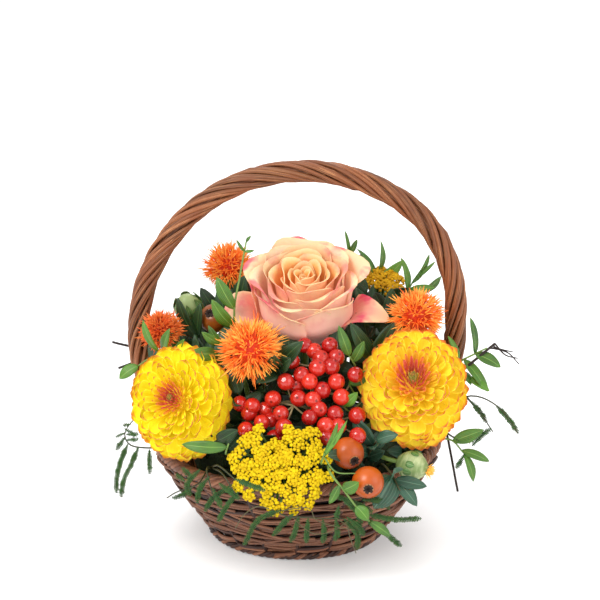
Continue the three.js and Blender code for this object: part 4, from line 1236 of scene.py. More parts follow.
def make_brush(number, pose, radius, red):
    bunch = bmesh.new()
    stamp(bunch, ball(0.42 * radius), pose, (0.3, 0.0, red))
    for i in range(THREAD_COUNT):
        share = (i + 0.5) / THREAD_COUNT
        polar = 1.95 * share ** 0.58
        long = 0.86 * radius * (1.06 + 0.14 * draw(i + 5)) * (1 - 0.12 * share)
        long *= 1.2 if draw(i + 13) > 0.75 else 1
        out = Matrix.Rotation(GOLDEN_ANGLE * i, 4, "Z") @ Matrix.Rotation(polar + 0.16 * draw(i), 4, "Y")
        low = Matrix.Translation((0, 0, -0.05 * radius))
        root = Matrix.Translation((0, 0, 0.24 * radius))
        scale = Matrix.Diagonal((1, 1, long / THREAD_LENGTH, 1))
        spot = pose @ low @ out @ root @ scale @ Matrix.Rotation(i, 4, "Z")
        stamp(bunch, THREADS[i % len(THREADS)], spot, (0.5 + 0.5 * draw(i + 9), None, red))
    piece(f"safflower_{number}", bunch, [THREAD_ORANGE], [f"safflower_{number}_florets"])


def make_head(number, pose, radius, stem):
    bunch = bmesh.new()
    below = pose @ Matrix.Translation((0, 0, -0.42 * radius))
    stamp(bunch, ball(0.44 * radius, 18, 12), below, (0.3, 0.5, 1.0))
    wide, tall = 0.2 * radius, 0.62 * radius

    def bend(u, t):
        half = wide * math.sin(math.pi * min(t * 0.9 + 0.1, 1)) ** 0.8
        return half * u, -0.12 * radius - 0.2 * tall * math.sin(math.pi * t * 0.8), tall * (t - 0.55)

    bract = blade(bend, 4, 5, 0.5)
    for i in range(HEAD_BRACTS):
        level = i / (HEAD_BRACTS - 1)
        out = Matrix.Rotation(GOLDEN_ANGLE * i, 4, "Z") @ Matrix.Rotation(0.55 * (1 - level), 4, "X")
        spot = pose @ Matrix.Translation((0, 0, (-0.6 + 0.35 * level) * radius)) @ out
        spot = spot @ Matrix.Translation((0, -0.3 * radius, 0))
        stamp(bunch, bract, spot, (0.5 + 0.5 * draw(i), None, None))
    add_rod(bunch, stem, 1.9, 1.7, 10)
    piece(f"safflower_{number}_stem", bunch, [BRACT_GREEN], [f"safflower_{number}_stem"])


for number, flower in enumerate(SAFFLOWERS, 1):
    at, axis, radius = flower["at"], flower["axis"], flower["radius"]
    stem = stem_line(at, axis, flower["foot"], 1.5 * radius, 0.8 * radius)
    make_brush(number, facing(at, axis), radius, flower["red"])
    make_head(number, facing(at, axis), radius, stem)

# %% [markdown]
# ## The berries
# The berries hang in a loose bunch on one branching stalk. Each is a ball with a small dimple,
# whose tone makes it dark there, as where the flower was. The glossy skin is a coat over a red
# that lets a little light in, and so shows a small bright spot of each lamp.

# %% One berry
BERRY_RADIUS = 5.3


def berry_material():
    material, tree = new_material("red_berry", 0.16)
    random, layer, _ = tone(tree)
    face = mix(tree, random, colour(0xB01412), colour(0xD8301E))
    face = mix(tree, layer, face, colour(0x3A0E0A))
    finish_material(tree, face, coat_weight=0.5, coat_roughness=0.1,
                    subsurface_weight=0.15, subsurface_scale=0.002)
    return material


def make_berry():
    shape = bmesh.new()
    bmesh.ops.create_uvsphere(shape, u_segments=20, v_segments=14, radius=BERRY_RADIUS)
    dark = shape.verts.layers.float_color.new("tone")
    for vert in shape.verts:
        top = smoothstep(0.976, 0.999, vert.co.z / BERRY_RADIUS)
        vert[dark] = (0.5, top, 0.5, 1)
        vert.co.z -= 0.5 * top
    return small_mesh(shape)


BERRY = make_berry()
RED_BERRY = berry_material()
BERRY_STALK = stem_material("berry_stalk", colour(0x9A8A5A), colour(0xC8B88A))
print("faces of a berry:", len(BERRY.polygons))

# %% [markdown]
# ## The bunch
# Each berry's place is chosen from the photo, and its depth so that the front ones cover
# the back ones. The stalk rises from the foam to a crown and forks six times, and each berry
# hangs on the nearest fork. The dimples look outwards from the middle of the bunch, more or less.

# %% Hang the berries
BERRIES = [
    (5, -38, 140), (11, -40, 137), (21, -38, 140), (15, -46, 134), (25, -44, 134), (-3, -46, 132),
    (13, -52, 130), (22, -50, 130), (3, -54, 126), (-7, -56, 122), (8, -58, 123), (25, -56, 122),
    (37, -54, 126), (28, -62, 114), (-15, -60, 112), (1, -62, 113), (10, -64, 113), (-36, -58, 108),
    (-28, -62, 108), (-30, -62, 103), (-22, -70, 100), (-10, -70, 106), (-32, -70, 95), (-8, -76, 99),
    (-14, -74, 91), (-16, -64, 99), (14, -68, 108), (8, -72, 104), (24, -68, 105), (38, -66, 103),
    (18, -76, 100), (26, -74, 99), (18, -78, 93), (38, -80, 95), (16, -58, 117), (0, -52, 118),
    (-20, -58, 104),
]
BERRY_FORKS = [(12, -44, 128), (9, -52, 116), (28, -52, 110), (22, -60, 98), (-2, -56, 106), (-22, -54, 100)]
BUNCH_MIDDLE = Vector((4, -30, 108))
STALK_CROWN = Vector((10, -42, 108))


def berry_stalks():
    stalks = bmesh.new()
    add_rod(stalks, smooth_line([(8, -26, 54), (9, -34, 82), STALK_CROWN], 10), 1.8, 1.5, 8)
    for fork in BERRY_FORKS:
        bend = STALK_CROWN.lerp(Vector(fork), 0.5) + Vector((0, 4, 0))
        add_rod(stalks, smooth_line([(9, -38, 96), bend, fork], 6), 1.1, 0.8, 6)
    for spot in BERRIES:
        home = min(BERRY_FORKS, key=lambda fork: (Vector(fork) - Vector(spot)).length)
        bend = Vector(home).lerp(Vector(spot), 0.5) + Vector((0, 3, -2))
        add_rod(stalks, smooth_line([home, bend, spot], 5), 0.7, 0.45, 6)
    take_material(stalks, 1)
    return stalks


def make_berries():
    bunch = bmesh.new()
    for i, spot in enumerate(BERRIES):
        aim = (Vector(spot) - BUNCH_MIDDLE).normalized() + 0.5 * Vector((draw(i), draw(i + 3), draw(i + 5)))
        size = Matrix.Scale(1 + 0.06 * draw(i + 7), 4)
        stamp(bunch, BERRY, facing(spot, aim) @ size, (0.5 + 0.5 * draw(i), None, None))
    pour(bunch, berry_stalks())
    piece("berries", bunch, [RED_BERRY, BERRY_STALK], ["berry_bunch"])


make_berries()

# %% [markdown]
# ## The yarrow: one floret
# A yarrow head is a crowd of several hundred tiny yellow florets. One floret is a small button
# with five soft lobes. It starts as a ball, whose rings are then moved to the radius and height
# of a button, and it has only five dozen faces, because it is stamped so often.

# %% Yarrow floret
BUTTON_RINGS = [(0.0, 0.75), (0.35, 0.85), (0.75, 0.5), (1.0, 0.25), (0.62, -0.35), (0.0, -0.6)]
BUTTON_SIDES = 15
BUTTON_RADIUS = 1.9


def make_button():
    """A lobed button. The ball's first column of points, on Y, becomes the tip of a lobe on X."""
    shape = bmesh.new()
    steps = len(BUTTON_RINGS) - 1
    bmesh.ops.create_uvsphere(shape, u_segments=BUTTON_SIDES, v_segments=steps, radius=1)
    layer = shape.verts.layers.float_color.new("tone")
    for vert in shape.verts:
        level = round(math.acos(min(max(vert.co.z, -1), 1)) * steps / math.pi)
        radius, height = BUTTON_RINGS[level]
        angle = math.atan2(vert.co.y, vert.co.x) - TURN / 4
        lobe = 1 + (0.2 * math.cos(5 * angle) if radius > 0.6 else 0)
        vert.co = Vector(round_line(angle, radius * lobe, height)) * BUTTON_RADIUS
        # The tone's place runs from 0 under the floret to 1 on top; the material uses it to paint shade under
        # each floret.
        vert[layer] = (0.5, smoothstep(-1, 1.3, vert.co.z), 0.5, 1)
    return small_mesh(shape)


def yarrow_material(name, dark, light):
    material, tree = new_material(name, 0.75)
    random, layer, _ = tone(tree)
    face = mix(tree, random, dark, light)
    # Painted shade: the underside of each floret turns dark olive, for the shade between crowded florets.
    face = mix(tree, layer, mix(tree, 0.75, face, colour(0x5E5406)), face)
    finish_material(tree, face, specular_ior_level=0.2)
    return material


BUTTON = make_button()
print("faces of a floret:", len(BUTTON.polygons))

# %% [markdown]
# ## The yarrow: the whole head
# The florets stand in clumps, each on a thin stalk of its own, with dark gaps between them. The
# clumps spread by the golden angle over a low dome, as far as a formula lets them to each side.
# The front head is notched above, like a heart, and the one at the back is small and round.

# %% Make the yarrow
def tilt_out(angle, lean):
    """A turn that leans a shape away from the middle, towards an angle."""
    return Matrix.Rotation(lean, 4, Vector((-math.sin(angle), math.cos(angle), 0)))


def make_yarrow(name, at, axis, reach, depth, clumps, material, seed=0):
    """reach(angle) is how far the head goes to each side."""
    bunch = bmesh.new()
    stalks = bmesh.new()
    pose = facing(at, axis)
    for i in range(clumps):
        angle = GOLDEN_ANGLE * i + 0.25 * draw(i + seed)
        share = min(math.sqrt((i + 0.5) / clumps) * (1 + 0.05 * draw(i + 1)), 1)
        edge = share * (reach(angle % TURN) - 2.5)
        centre = Vector(round_line(angle, edge, depth * (1 - share ** 2) + 1.2 * draw(i + seed)))
        lean = tilt_out(angle, 0.75 * share ** 2 + 0.15 * draw(i))
        home = pose @ Matrix.Translation(centre) @ lean
        crowd = 13 + round(3 * draw(i + 8))
        for k in range(crowd):
            turn = GOLDEN_ANGLE * k + i
            r = 3.9 * math.sqrt((k + 0.4) / crowd) * (1 + 0.12 * draw(k + 5 * i))
            spot = Vector(round_line(turn, r, 0.9 - 0.12 * r * r + 0.4 * draw(k + i)))
            size = 0.66 + 0.12 * draw(k + 3 * i)
            tip = Matrix.Translation(spot) @ tilt_out(turn, 0.12 * r)
            stamp(bunch, BUTTON, home @ tip @ Matrix.Scale(size, 4), (0.5 + 0.5 * draw(k + 7 * i), None, None))
        low = pose @ Vector((0.25 * centre.x, 0.25 * centre.y, -14))
        bend = pose @ Vector((0.75 * centre.x, 0.75 * centre.y, centre.z - 6))
        add_rod(stalks, [low, bend, pose @ centre], 0.8, 0.9, 5)
    take_material(stalks, 1)
    pour(bunch, stalks)
    piece(name, bunch, [material, GREEN_STEM], [f"{name}_head"])


def heart_reach(angle):
    """A wide heart: a notch near the top of a rounded outline."""
    return 33.5 + 1.5 * math.cos(2 * angle) - 19 * math.exp(-(((angle - 1.72) / 0.3) ** 2))


FRONT_HEAD = {"at": (-9.5, -97, 82), "axis": (0, -0.9, 0.42)}
BACK_HEAD = {"at": (58, 44, 157), "axis": (0.1, -0.3, 0.9)}
make_yarrow("yarrow_front", **FRONT_HEAD, reach=heart_reach, depth=6, clumps=74,
            material=yarrow_material("yellow_yarrow", colour(0xD0AA04), colour(0xE8CA0C)))
make_stem("yarrow_front_stem", **FRONT_HEAD, foot=(-6, -48), run=22, back=1, radius=1.8)
make_yarrow("yarrow_back", **BACK_HEAD, reach=lambda angle: 16, depth=4, clumps=20,
            material=yarrow_material("mustard_yarrow", colour(0xB88408), colour(0xD8A812)), seed=5)
make_stem("yarrow_back_stem", **BACK_HEAD, foot=(34, 26), run=22, back=1, radius=1.6)

# %% [markdown]
# ## The hips
# A hip is a waxy orange ball with a dark crown of dried sepals in a pale ring. The ring and the
# dark dimple are tones on the ball's own points, and ten small blades stand round the dimple.
# The dry parts are dull, so the tone also drives the roughness. The hip at the back is browner.

# %% Hips
SEPALS = 10


def hip_material(name, skin, blotch):
    material, tree = new_material(name)
    _, layer, _ = tone(tree)
    black, white, wax, dull = ((grey, grey, grey, 1) for grey in (0, 1, 0.32, 0.9))
    cloud = mottle(tree, 60)
    face = mix(tree, cloud.outputs["Mask"], skin, blotch)
    face = mix(tree, ramp(tree, layer, [(0.3, black), (0.5, white)]), face, colour(0xD8A070))
    face = mix(tree, ramp(tree, layer, [(0.6, black), (0.8, white)]), face, colour(0x30201A))
    finish_material(tree, face, cloud.outputs["Height"], 0.1, 0.0004,
                    roughness=ramp(tree, layer, [(0.5, wax), (0.7, dull)]))
    return material


def make_hip(name, at, axis, radius, material):
    bunch = bmesh.new()
    bmesh.ops.create_uvsphere(bunch, u_segments=32, v_segments=20, radius=radius)
    layer = bunch.verts.layers.float_color.new("tone")
    for vert in bunch.verts:
        height = vert.co.z / radius
        ring = smoothstep(0.9, 0.96, height)
        vert[layer] = (0.5, 0.45 * ring + 0.55 * smoothstep(0.955, 0.975, height), 0.5, 1)
        vert.co.z -= 1.2 * smoothstep(0.95, 1.0, height)
    sepal = blade(lambda u, t: (1.1 * (1 - t) ** 0.6 * u, -1.0 - 2.4 * t, 1.9 * math.sin(2.4 * t)), 2, 4, 0.5)
    for i in range(SEPALS):
        turn = Matrix.Rotation(TURN * (i + 0.3 * draw(i)) / SEPALS, 4, "Z")
        stamp(bunch, sepal, Matrix.Translation((0, 0, radius - 1.4)) @ turn, (0.5, 1.0, None))
    bunch.transform(facing(at, axis))
    piece(name, bunch, [material], [name])


ORANGE_HIP = hip_material("orange_hip", colour(0xA8440C), colour(0xC85C16))
BROWN_HIP = hip_material("brown_hip", colour(0x84400F), colour(0xA85A1C))
make_hip("hip_upper", (32, -84, 85), (0.38, -0.9, -0.17), 10, ORANGE_HIP)
make_hip("hip_lower", (44, -100, 72), (0, -1, -0.05), 10, ORANGE_HIP)
make_hip("hip_left", **HIP_LEFT, radius=9.5, material=BROWN_HIP)

# %% [markdown]
# ## The buds
# The buds are safflowers that haven't opened. The left one is wrapped in two rows of bracts. The
# right one has only spots of leaf on a pale rind with streaks, and its first orange threads show
# at the tip. Both are one thick rod, which gives the round body and the UV map for the streaks.

# %% Buds
TUFT_THREADS = 26


def bud_body(bunch, pose, radius, long):
    """A rod that swells like an egg."""
    shares = [k / 10 for k in range(11)]
    radii = [max(radius * math.sin(math.pi * min(0.1 + t * 0.86, 1)) ** 0.7, 0.4) for t in shares]
    stamp(bunch, rod([(0, 0, long * (t - 0.5)) for t in shares], radii, 18), pose, (0.5, 0.5, 1.0))
    take_material(bunch, 1)


def wrap_bud(bunch, pose, radius, long, bracts):
    """Rows of six bracts, each row a little higher and turned by half a bract."""
    def bend(u, t):
        half = 0.42 * radius * math.sin(math.pi * min(0.15 + 0.85 * t, 1)) ** 0.7
        r = radius * math.sin(math.pi * min(0.12 + t * 0.7, 1)) ** 0.7 + 0.5
        return half * u, -r + 0.12 * half * u * u, long * (0.78 * t - 0.5)

    bract = blade(bend, 4, 6, 0.4)
    for i in range(bracts):
        row = i // 6
        lift = Matrix.Translation((0, 0, 0.3 * long * row / max(bracts // 6, 1)))
        turn = Matrix.Rotation(TURN * (i + 0.5 * row) / 6, 4, "Z")
        stamp(bunch, bract, pose @ lift @ turn, (0.5 + 0.5 * draw(i), None, None))


def spot_bud(bunch, pose, radius, long, spots):
    """Small oval leaves that lie on the rind."""
    def bend(u, t):
        half = 0.24 * radius * math.sin(math.pi * min(0.1 + 0.85 * t, 1)) ** 0.6
        height = 0.38 + 0.26 * t
        r = radius * math.sin(math.pi * (0.1 + 0.86 * height)) ** 0.7 + 0.3
        return half * u, -r + 0.06 * half * u * u, long * (height - 0.5)

    spot = blade(bend, 4, 5, 0.4)
    for i in range(spots):
        lift = Matrix.Translation((0, 0, 2.2 * draw(i + 2)))
        stamp(bunch, spot, pose @ lift @ Matrix.Rotation(GOLDEN_ANGLE * i, 4, "Z"), (0.1, None, None))


def tuft_bud(bunch, pose, long):
    """The first threads at the tip, in the third material."""
    tuft = bmesh.new()
    for i in range(TUFT_THREADS):
        out = Matrix.Rotation(GOLDEN_ANGLE * i, 4, "Z") @ Matrix.Rotation(0.085 * math.sqrt(i), 4, "Y")
        root = pose @ Matrix.Translation((0, 0, 0.3 * long)) @ out
        stamp(tuft, THREADS[i % 6], root @ Matrix.Diagonal((0.8, 0.8, 0.66, 1)), (1.0, 1.0, 0.0))
    take_material(tuft, 2)
    pour(bunch, tuft)


def make_bud(name, at, axis, radius, long, body, bracts=0, spots=0):
    bunch = bmesh.new()
    pose = facing(at, axis)
    bud_body(bunch, pose, radius, long)
    wrap_bud(bunch, pose, radius, long, bracts)
    if spots:
        spot_bud(bunch, pose, radius, long, spots)
        tuft_bud(bunch, pose, long)
    piece(name, bunch, [BRACT_GREEN, body, THREAD_ORANGE], [name])


PALE_BUD = stem_material("pale_bud", colour(0x7A9456), colour(0xA6B67C))
STREAKED_BUD = streaked_skin("streaked_bud", colour(0x48682E), colour(0x82985A), colour(0xC8D09E), 3)
make_bud("bud_left", **BUD_LEFT, radius=9, long=22, body=PALE_BUD, bracts=12)
make_bud("bud_right", **BUD_RIGHT, radius=9.5, long=20, body=STREAKED_BUD, spots=9)

# %% [markdown]
# ## Leafy stems: how they grow
# A sprig is a thin stem with leaves along it, and may have shoots and bare tendrils. Each leaf is
# a blade from its root on the stem to its tip, folded a little along the midrib, bowed and
# twisted. Its upper side looks outwards, to the front and up, as leaves in a basket are turned.

# %% Grow a sprig
SHOOT_STEPS = 16


def add_leaf(bunch, root, tip, width, outward, fold=0.25, bow=0.08, seed=0):
    """A folded and bowed leaf from root to tip."""
    root, tip = Vector(root), Vector(tip)
    along = tip - root
    side = along.cross(Vector(outward)).normalized()
    up = side.cross(along).normalized()
    long = along.length
    twist = 0.25 * draw(seed)

    def bend(u, t):
        half = max(width / 2 * math.sin(math.pi * t ** 0.88) ** 0.65, 0.35 * (1 - t) + 0.05)
        lift = fold * abs(u) * half + bow * long * math.sin(math.pi * t)
        lift += 0.04 * width * math.sin(9 * t + seed) * u
        aside = u * half + 0.04 * long * draw(seed + 2) * math.sin(math.pi * t)
        return root + along * t + side * aside + up * (lift + twist * u * half * t)

    shape = blade(bend, 4, 10, 0.45)
    stamp(bunch, shape, Matrix.Identity(4), (0.5 + 0.5 * draw(seed + 1), None, None))
    bpy.data.meshes.remove(shape)


def leaf_root(lines, tip, near):
    """Where a leaf grows: the point nearest to a given one, or a little below its tip's place."""
    if near:
        return min((p for line in lines for p in line), key=lambda p: (p - Vector(near)).length)
    main = lines[0]
    closest = min(range(len(main)), key=lambda k: (main[k] - tip).length)
    gap = (main[closest] - tip).length
    return main[max(closest - round(0.5 * gap / (main[1] - main[0]).length), 2)]


def crowd_shoot(bunch, line, k, crowd):
    """Leaves all round the upper two thirds of a shoot."""
    for i in range(crowd):
        spot = line[SHOOT_STEPS - round(11 * i / (crowd - 1))]
        angle = GOLDEN_ANGLE * i + 2 * k
        aim = Vector((math.cos(angle), math.sin(angle) - 0.35, 0.75 + 0.3 * draw(i + k)))
        tip = spot + aim.normalized() * (19 + 4 * draw(i + 3 * k))
        wide, outward = 9.5 + 1.5 * draw(i + k), (aim.x, aim.y - 0.6, 0.9)
        add_leaf(bunch, spot, tip, wide, outward, seed=i + 11 * k)


def make_sprig(name, path, leaves, width, leaf, stem, slot, shoots=(), tendrils=(), crowd=0):
    """A stem with its own leaves, bare tendrils, and shoots that may carry a crowd of leaves each."""
    bunch = bmesh.new()
    lines = [smooth_line(path, 24)] + [smooth_line(shoot, SHOOT_STEPS) for shoot in shoots]
    for k, line in enumerate(lines):
        add_rod(bunch, line, 1.2 if k == 0 else 0.9, 0.5, 8)
    for tendril in tendrils:
        add_rod(bunch, smooth_line(tendril, 10), 0.6, 0.35, 6, (0.3, 0.5, 0.5))
    take_material(bunch, 1)
    for i, (x, y, z, *own) in enumerate(leaves):
        tip = Vector((x, y, z))
        root = leaf_root(lines, tip, own[1:])
        outward = Vector((0.5 * (root.x + tip.x), 0.5 * (root.y + tip.y) - 90, 50)).normalized()
        add_leaf(bunch, root, tip, own[0] if own else width, outward, seed=i + len(name))
    for k, line in enumerate(lines[1:]):
        crowd_shoot(bunch, line, k, crowd)
    piece(name, bunch, [leaf, stem], [name])


print("sprigs can grow")

# %% [markdown]
# ## Light green sprigs
# These long sprigs stick out between the flowers. Their leaves are seen one by one, so each has
# its own place: the point of its tip, then its width if it isn't 7 mm, then a point that its root
# is near. Those that leave the point out grow from the main stem, a little below the tip.

# %% Light sprigs
LIGHT_STEMS = {
    "beside_rose": {
        "path": [(-26, -16, 54), (-34, -22, 110), (-40, -28, 155), (-36, -26, 183), (-32, -26, 205)],
        "leaves": [
            (-51, -24, 181, 9, -40, -26, 160), (-54, -30, 168, 9, -41, -26, 149), (-29, -26, 209, 2),
            (-38, -28, 207, 2), (-27, -25, 199, 2), (-44, -32, 141, 7, -37, -24, 128),
        ],
    },
    "left": {
        "path": [(-50, -6, 54), (-62, -14, 90), (-78, -30, 128), (-88, -38, 136)],
        "leaves": [
            (-97, -44, 159, 6, -88, -40, 135), (-80, -46, 154, 7, -80, -44, 136), (-71, -46, 147, 6),
            (-113, -42, 119, 8, -101, -40, 127),
        ],
        "shoots": [[(-84, -34, 132), (-94, -38, 131), (-101, -40, 127)]],
    },
    "centre_left": {
        "path": [(-26, -22, 54), (-32, -30, 110), (-44, -40, 134), (-49, -42, 146)],
        "leaves": [
            (-68, -54, 140, 9, -50, -46, 137), (-60, -44, 151, 6), (-56, -40, 154, 5),
            (-62, -50, 132, 7, -47, -40, 126),
        ],
        "shoots": [[(-44, -40, 134), (-50, -46, 137)]],
    },
    "among_berries": {
        "path": [(38, -24, 54), (42, -32, 100), (38, -46, 126), (33, -58, 140)],
        "leaves": [
            (26, -64, 162, 7, 33, -60, 138), (42, -56, 149, 7), (46, -52, 128, 8, 33, -52, 119),
            (38, -64, 118, 7, 29, -62, 108),
        ],
        "shoots": [
            [(42, -32, 100), (36, -48, 112), (33, -52, 119)],
            [(42, -32, 100), (34, -56, 102), (29, -62, 108)],
        ],
    },
    "front_right": {
        "path": [
            (16, -50, 54), (18, -82, 78), (21, -106, 80), (29, -108, 70), (37, -109, 59), (45, -110, 50),
        ],
        "leaves": [
            (38, -112, 77, 9, 27, -109, 70), (44, -113, 52, 8, 36, -110, 61),
            (58, -110, 40, 6, 45, -110, 50), (20, -110, 62, 5, 27, -109, 74),
            (25, -99, 111, 4, 17, -104, 90), (31, -97, 112, 3, 17, -104, 92),
        ],
        "shoots": [[(18, -82, 78), (15, -99, 84), (17, -105, 93)]],
        "tendrils": [[(17, -104, 90), (24, -110, 83), (36, -110, 82)]],
    },
    "front_left": {
        "path": [(-30, -44, 54), (-42, -76, 80), (-44, -92, 88), (-42, -96, 96)],
        "leaves": [(-71, -92, 94, 8, -46, -90, 96)],
    },
    "behind_right": {
        "path": [(42, 36, 54), (50, 40, 110), (54, 48, 150), (54, 50, 159)],
        "leaves": [
            (32, 44, 192, 3, 34, 42, 176), (40, 44, 186, 4, 35, 42, 175), (40, 50, 178, 7, 51, 48, 156),
            (56, 52, 183, 6, 54, 50, 159), (71, 52, 169, 8, 57, 50, 156), (70, 54, 170, 7, 73, 50, 148),
            (89, 56, 172, 5, 77, 52, 153), (93, 56, 167, 3, 79, 52, 156), (97, 52, 158, 6, 84, 51, 147),
            (92, 46, 152, 7, 76, 50, 147), (84, 40, 146, 8, 72, 48, 141),
        ],
        "shoots": [
            [(50, 40, 110), (40, 40, 150), (35, 42, 176)], [(50, 40, 110), (68, 48, 136), (79, 52, 156)],
            [(68, 48, 136), (76, 50, 144), (85, 51, 147)],
        ],
    },
    "right_outside": {
        "path": [(60, -6, 54), (80, -16, 96), (102, -20, 120), (114, -24, 129), (122, -26, 134)],
        "leaves": [
            (111, -24, 154, 6, 113, -24, 130), (131, -26, 121, 8, 116, -24, 129),
            (123, -28, 105, 8, 110, -22, 124), (124, -30, 106, 6, 110, -26, 114),
            (97, -26, 142, 5, 104, -21, 122), (112, -30, 110, 7, 106, -23, 119),
        ],
        "shoots": [[(102, -20, 120), (107, -24, 116), (111, -26, 113)]],
    },
    "right_low": {
        "path": [(56, -34, 54), (78, -44, 74), (97, -48, 80), (107, -53, 72)],
        "leaves": [
            (119, -52, 88, 9, 99, -49, 80), (123, -54, 67, 6, 105, -52, 75),
            (113, -56, 54, 6, 107, -53, 71),
        ],
    },
}
for name, sprig in LIGHT_STEMS.items():
    make_sprig(f"light_leaves_{name}", width=7, leaf=LIGHT_LEAF, stem=GREEN_STEM, slot="light_leaf", **sprig)

# %% [markdown]
# ## Dark green sprigs
# Broad dark leaves fill the shade between the flowers. Their near-black green is partly the
# leaves' own colour and partly painted shade, and their crowds stand where there is only shade.
# A few are placed like the light ones, where the photo shows them or where a gap would let the
# light through. Every shoot also carries a crowd of eight leaves all round it, because nobody
# counts the leaves in a shadow. The leaves round the right bud are bluer.

# %% Dark sprigs
DARK_STEMS = {
    "above_berries": {
        "path": [(-8, -18, 54), (-10, -26, 100), (-12, -44, 126), (-12, -54, 134)],
        "leaves": [
            (4, -56, 149, 11), (-14, -68, 144), (-25, -64, 124), (-4, -62, 140),
            (-8, -24, 147, 14, -3, -30, 118), (-15, -12, 145, 13, -18, -16, 116),
        ],
        "shoots": [
            [(-14, -20, 54), (-20, -34, 96), (-22, -42, 122)],
            [(-20, -26, 54), (-34, -46, 90), (-36, -52, 112)],
            [(-4, -14, 54), (-4, -24, 100), (0, -34, 122)],
            [(-26, -30, 54), (-44, -62, 78), (-50, -76, 90)],
            [(-6, -40, 54), (-12, -64, 78), (-14, -70, 92)],
            [(-34, -16, 54), (-52, -30, 86), (-60, -36, 100)],
        ],
    },
    "right_of_rose": {
        "path": [(36, -12, 54), (42, -20, 100), (48, -30, 128), (51, -34, 138)],
        "leaves": [
            (34, -38, 155), (62, -28, 152), (50, -46, 142, 9), (38, -12, 153, 9, 49, -10, 141),
            (66, -8, 156, 10, 50, -6, 145), (62, 12, 162, 13, 56, 14, 136),
            (42, -2, 152, 14, 50, -8, 128), (26, -16, 152, 13, 24, -28, 114),
            (36, 14, 168, 14, 42, 22, 140), (51, 34, 158, 11, 46, 26, 134), (38, 4, 165, 12, 34, 10, 138),
            (32, -8, 151, 11, 28, -8, 126),
        ],
        "shoots": [
            [(30, -6, 54), (36, -8, 110), (50, -8, 143)], [(40, 6, 54), (50, 10, 110), (58, 14, 140)],
            [(24, -18, 54), (22, -26, 90), (26, -32, 118)], [(44, -4, 54), (64, -6, 100), (72, -6, 126)],
            [(34, 12, 54), (40, 20, 120), (44, 24, 152)], [(14, -20, 54), (12, -30, 96), (12, -34, 116)],
            [(40, 16, 54), (46, 30, 110), (62, 34, 148)], [(30, 20, 54), (34, 36, 120), (40, 40, 160)],
        ],
    },
    "around_bud_right": {
        "path": [(50, -38, 54), (54, -66, 70), (60, -86, 70), (64, -94, 64)],
        "leaves": [(48, -104, 56, 18), (60, -102, 82), (75, -93, 53, 9), (81, -90, 65, 8)],
        "shoots": [
            [(40, -40, 54), (46, -66, 78), (50, -76, 90)], [(54, -30, 54), (76, -50, 76), (84, -58, 88)],
            [(30, -44, 54), (30, -74, 74), (28, -82, 82)],
        ],
    },
    "around_bud_left": {
        "path": [(-42, 8, 54), (-52, 4, 100), (-64, -6, 132), (-67, -8, 142)],
        "leaves": [
            (-77, -8, 162, 9), (-62, -13, 160, 8), (-62, -34, 138), (-84, -22, 130, 9),
            (-33, 4, 174, 13, -40, 12, 146), (-47, -20, 136, 12, -50, -18, 112),
            (-66, -20, 141, 12, -56, -18, 112), (-93, -16, 138, 12, -82, -6, 114),
            (-42, -13, 147, 13, -49, -16, 122), (-50, 8, 167, 11, -52, 6, 142),
            (-66, 9, 147, 14, -52, 4, 120),
        ],
        "shoots": [
            [(-34, 12, 54), (-44, 20, 110), (-54, 24, 152)], [(-30, 4, 54), (-38, 2, 110), (-44, 0, 138)],
            [(-46, 14, 54), (-64, 14, 100), (-74, 12, 134)],
            [(-26, 8, 54), (-30, 10, 120), (-38, 14, 152)],
            [(-40, -10, 54), (-52, -22, 100), (-54, -26, 124)],
            [(-50, 4, 54), (-76, -4, 90), (-88, -8, 112)],
            [(-20, 16, 54), (-26, 26, 120), (-30, 30, 166)],
        ],
    },
}
for name, sprig in DARK_STEMS.items():
    leaf = BLUE_LEAF if name == "around_bud_right" else DARK_LEAF
    make_sprig(f"dark_leaves_{name}", width=11, leaf=leaf, stem=THIN_STEM, slot="dark_leaf", crowd=8, **sprig)

# %% [markdown]
# ## Leafy branches at the back
# Short leafy branches fill the back of the basket and the gaps, so that hardly any foam shows.
# Their leaves turn round the branch by the golden angle and lie flatter towards its tip.

# %% Back branches
BACK_BRANCHES = [
    {"foot": (-46, 24, 54), "top": (-78, 42, 120), "light": False},
    {"foot": (-24, 44, 54), "top": (-38, 80, 126), "light": True},
    {"foot": (12, 48, 54), "top": (16, 86, 130), "light": False},
    {"foot": (46, 30, 54), "top": (72, 56, 118), "light": False},
    {"foot": (-4, 26, 54), "top": (-4, 48, 158), "light": True},
]


BRANCH_STEPS = 30
BRANCH_LEAVES = 28


def make_branch(number, foot, top, light):
    bunch = bmesh.new()
    x, y, _ = foot
    middle = ((x + top[0]) / 2 - 2, (y + top[1]) / 2 - 2, (FOAM_TOP + top[2]) / 2 + 6)
    line = smooth_line([foot, (x, y, FOAM_TOP), middle, top], BRANCH_STEPS)
    add_rod(bunch, line, 1.6, 0.6, 8)
    take_material(bunch, 1)
    long, wide = (21, 8) if light else (23, 12)
    for i in range(BRANCH_LEAVES):
        t = 0.16 + 0.84 * (i + 0.5) / BRANCH_LEAVES
        k = min(int(t * BRANCH_STEPS), BRANCH_STEPS - 1)
        root = line[k].lerp(line[k + 1], t * BRANCH_STEPS - k)
        along = (line[k + 1] - line[k]).normalized()
        side = along.orthogonal().normalized()
        side.rotate(Quaternion(along, GOLDEN_ANGLE * i))
        size = 1 + 0.15 * draw(i + number)
        tip = root + (along * 0.55 + side * (1.0 - 0.5 * t)).normalized() * long * size
        add_leaf(bunch, root, tip, wide * size, side + along * -0.6 + Vector((0, 0, 1)), seed=i + 31 * number)
    leaf, slot = (LIGHT_LEAF, "light_leaf") if light else (DARK_LEAF, "dark_leaf")
    piece(f"back_leaves_{number}", bunch, [leaf, THIN_STEM], [f"back_leaves_{number}"])


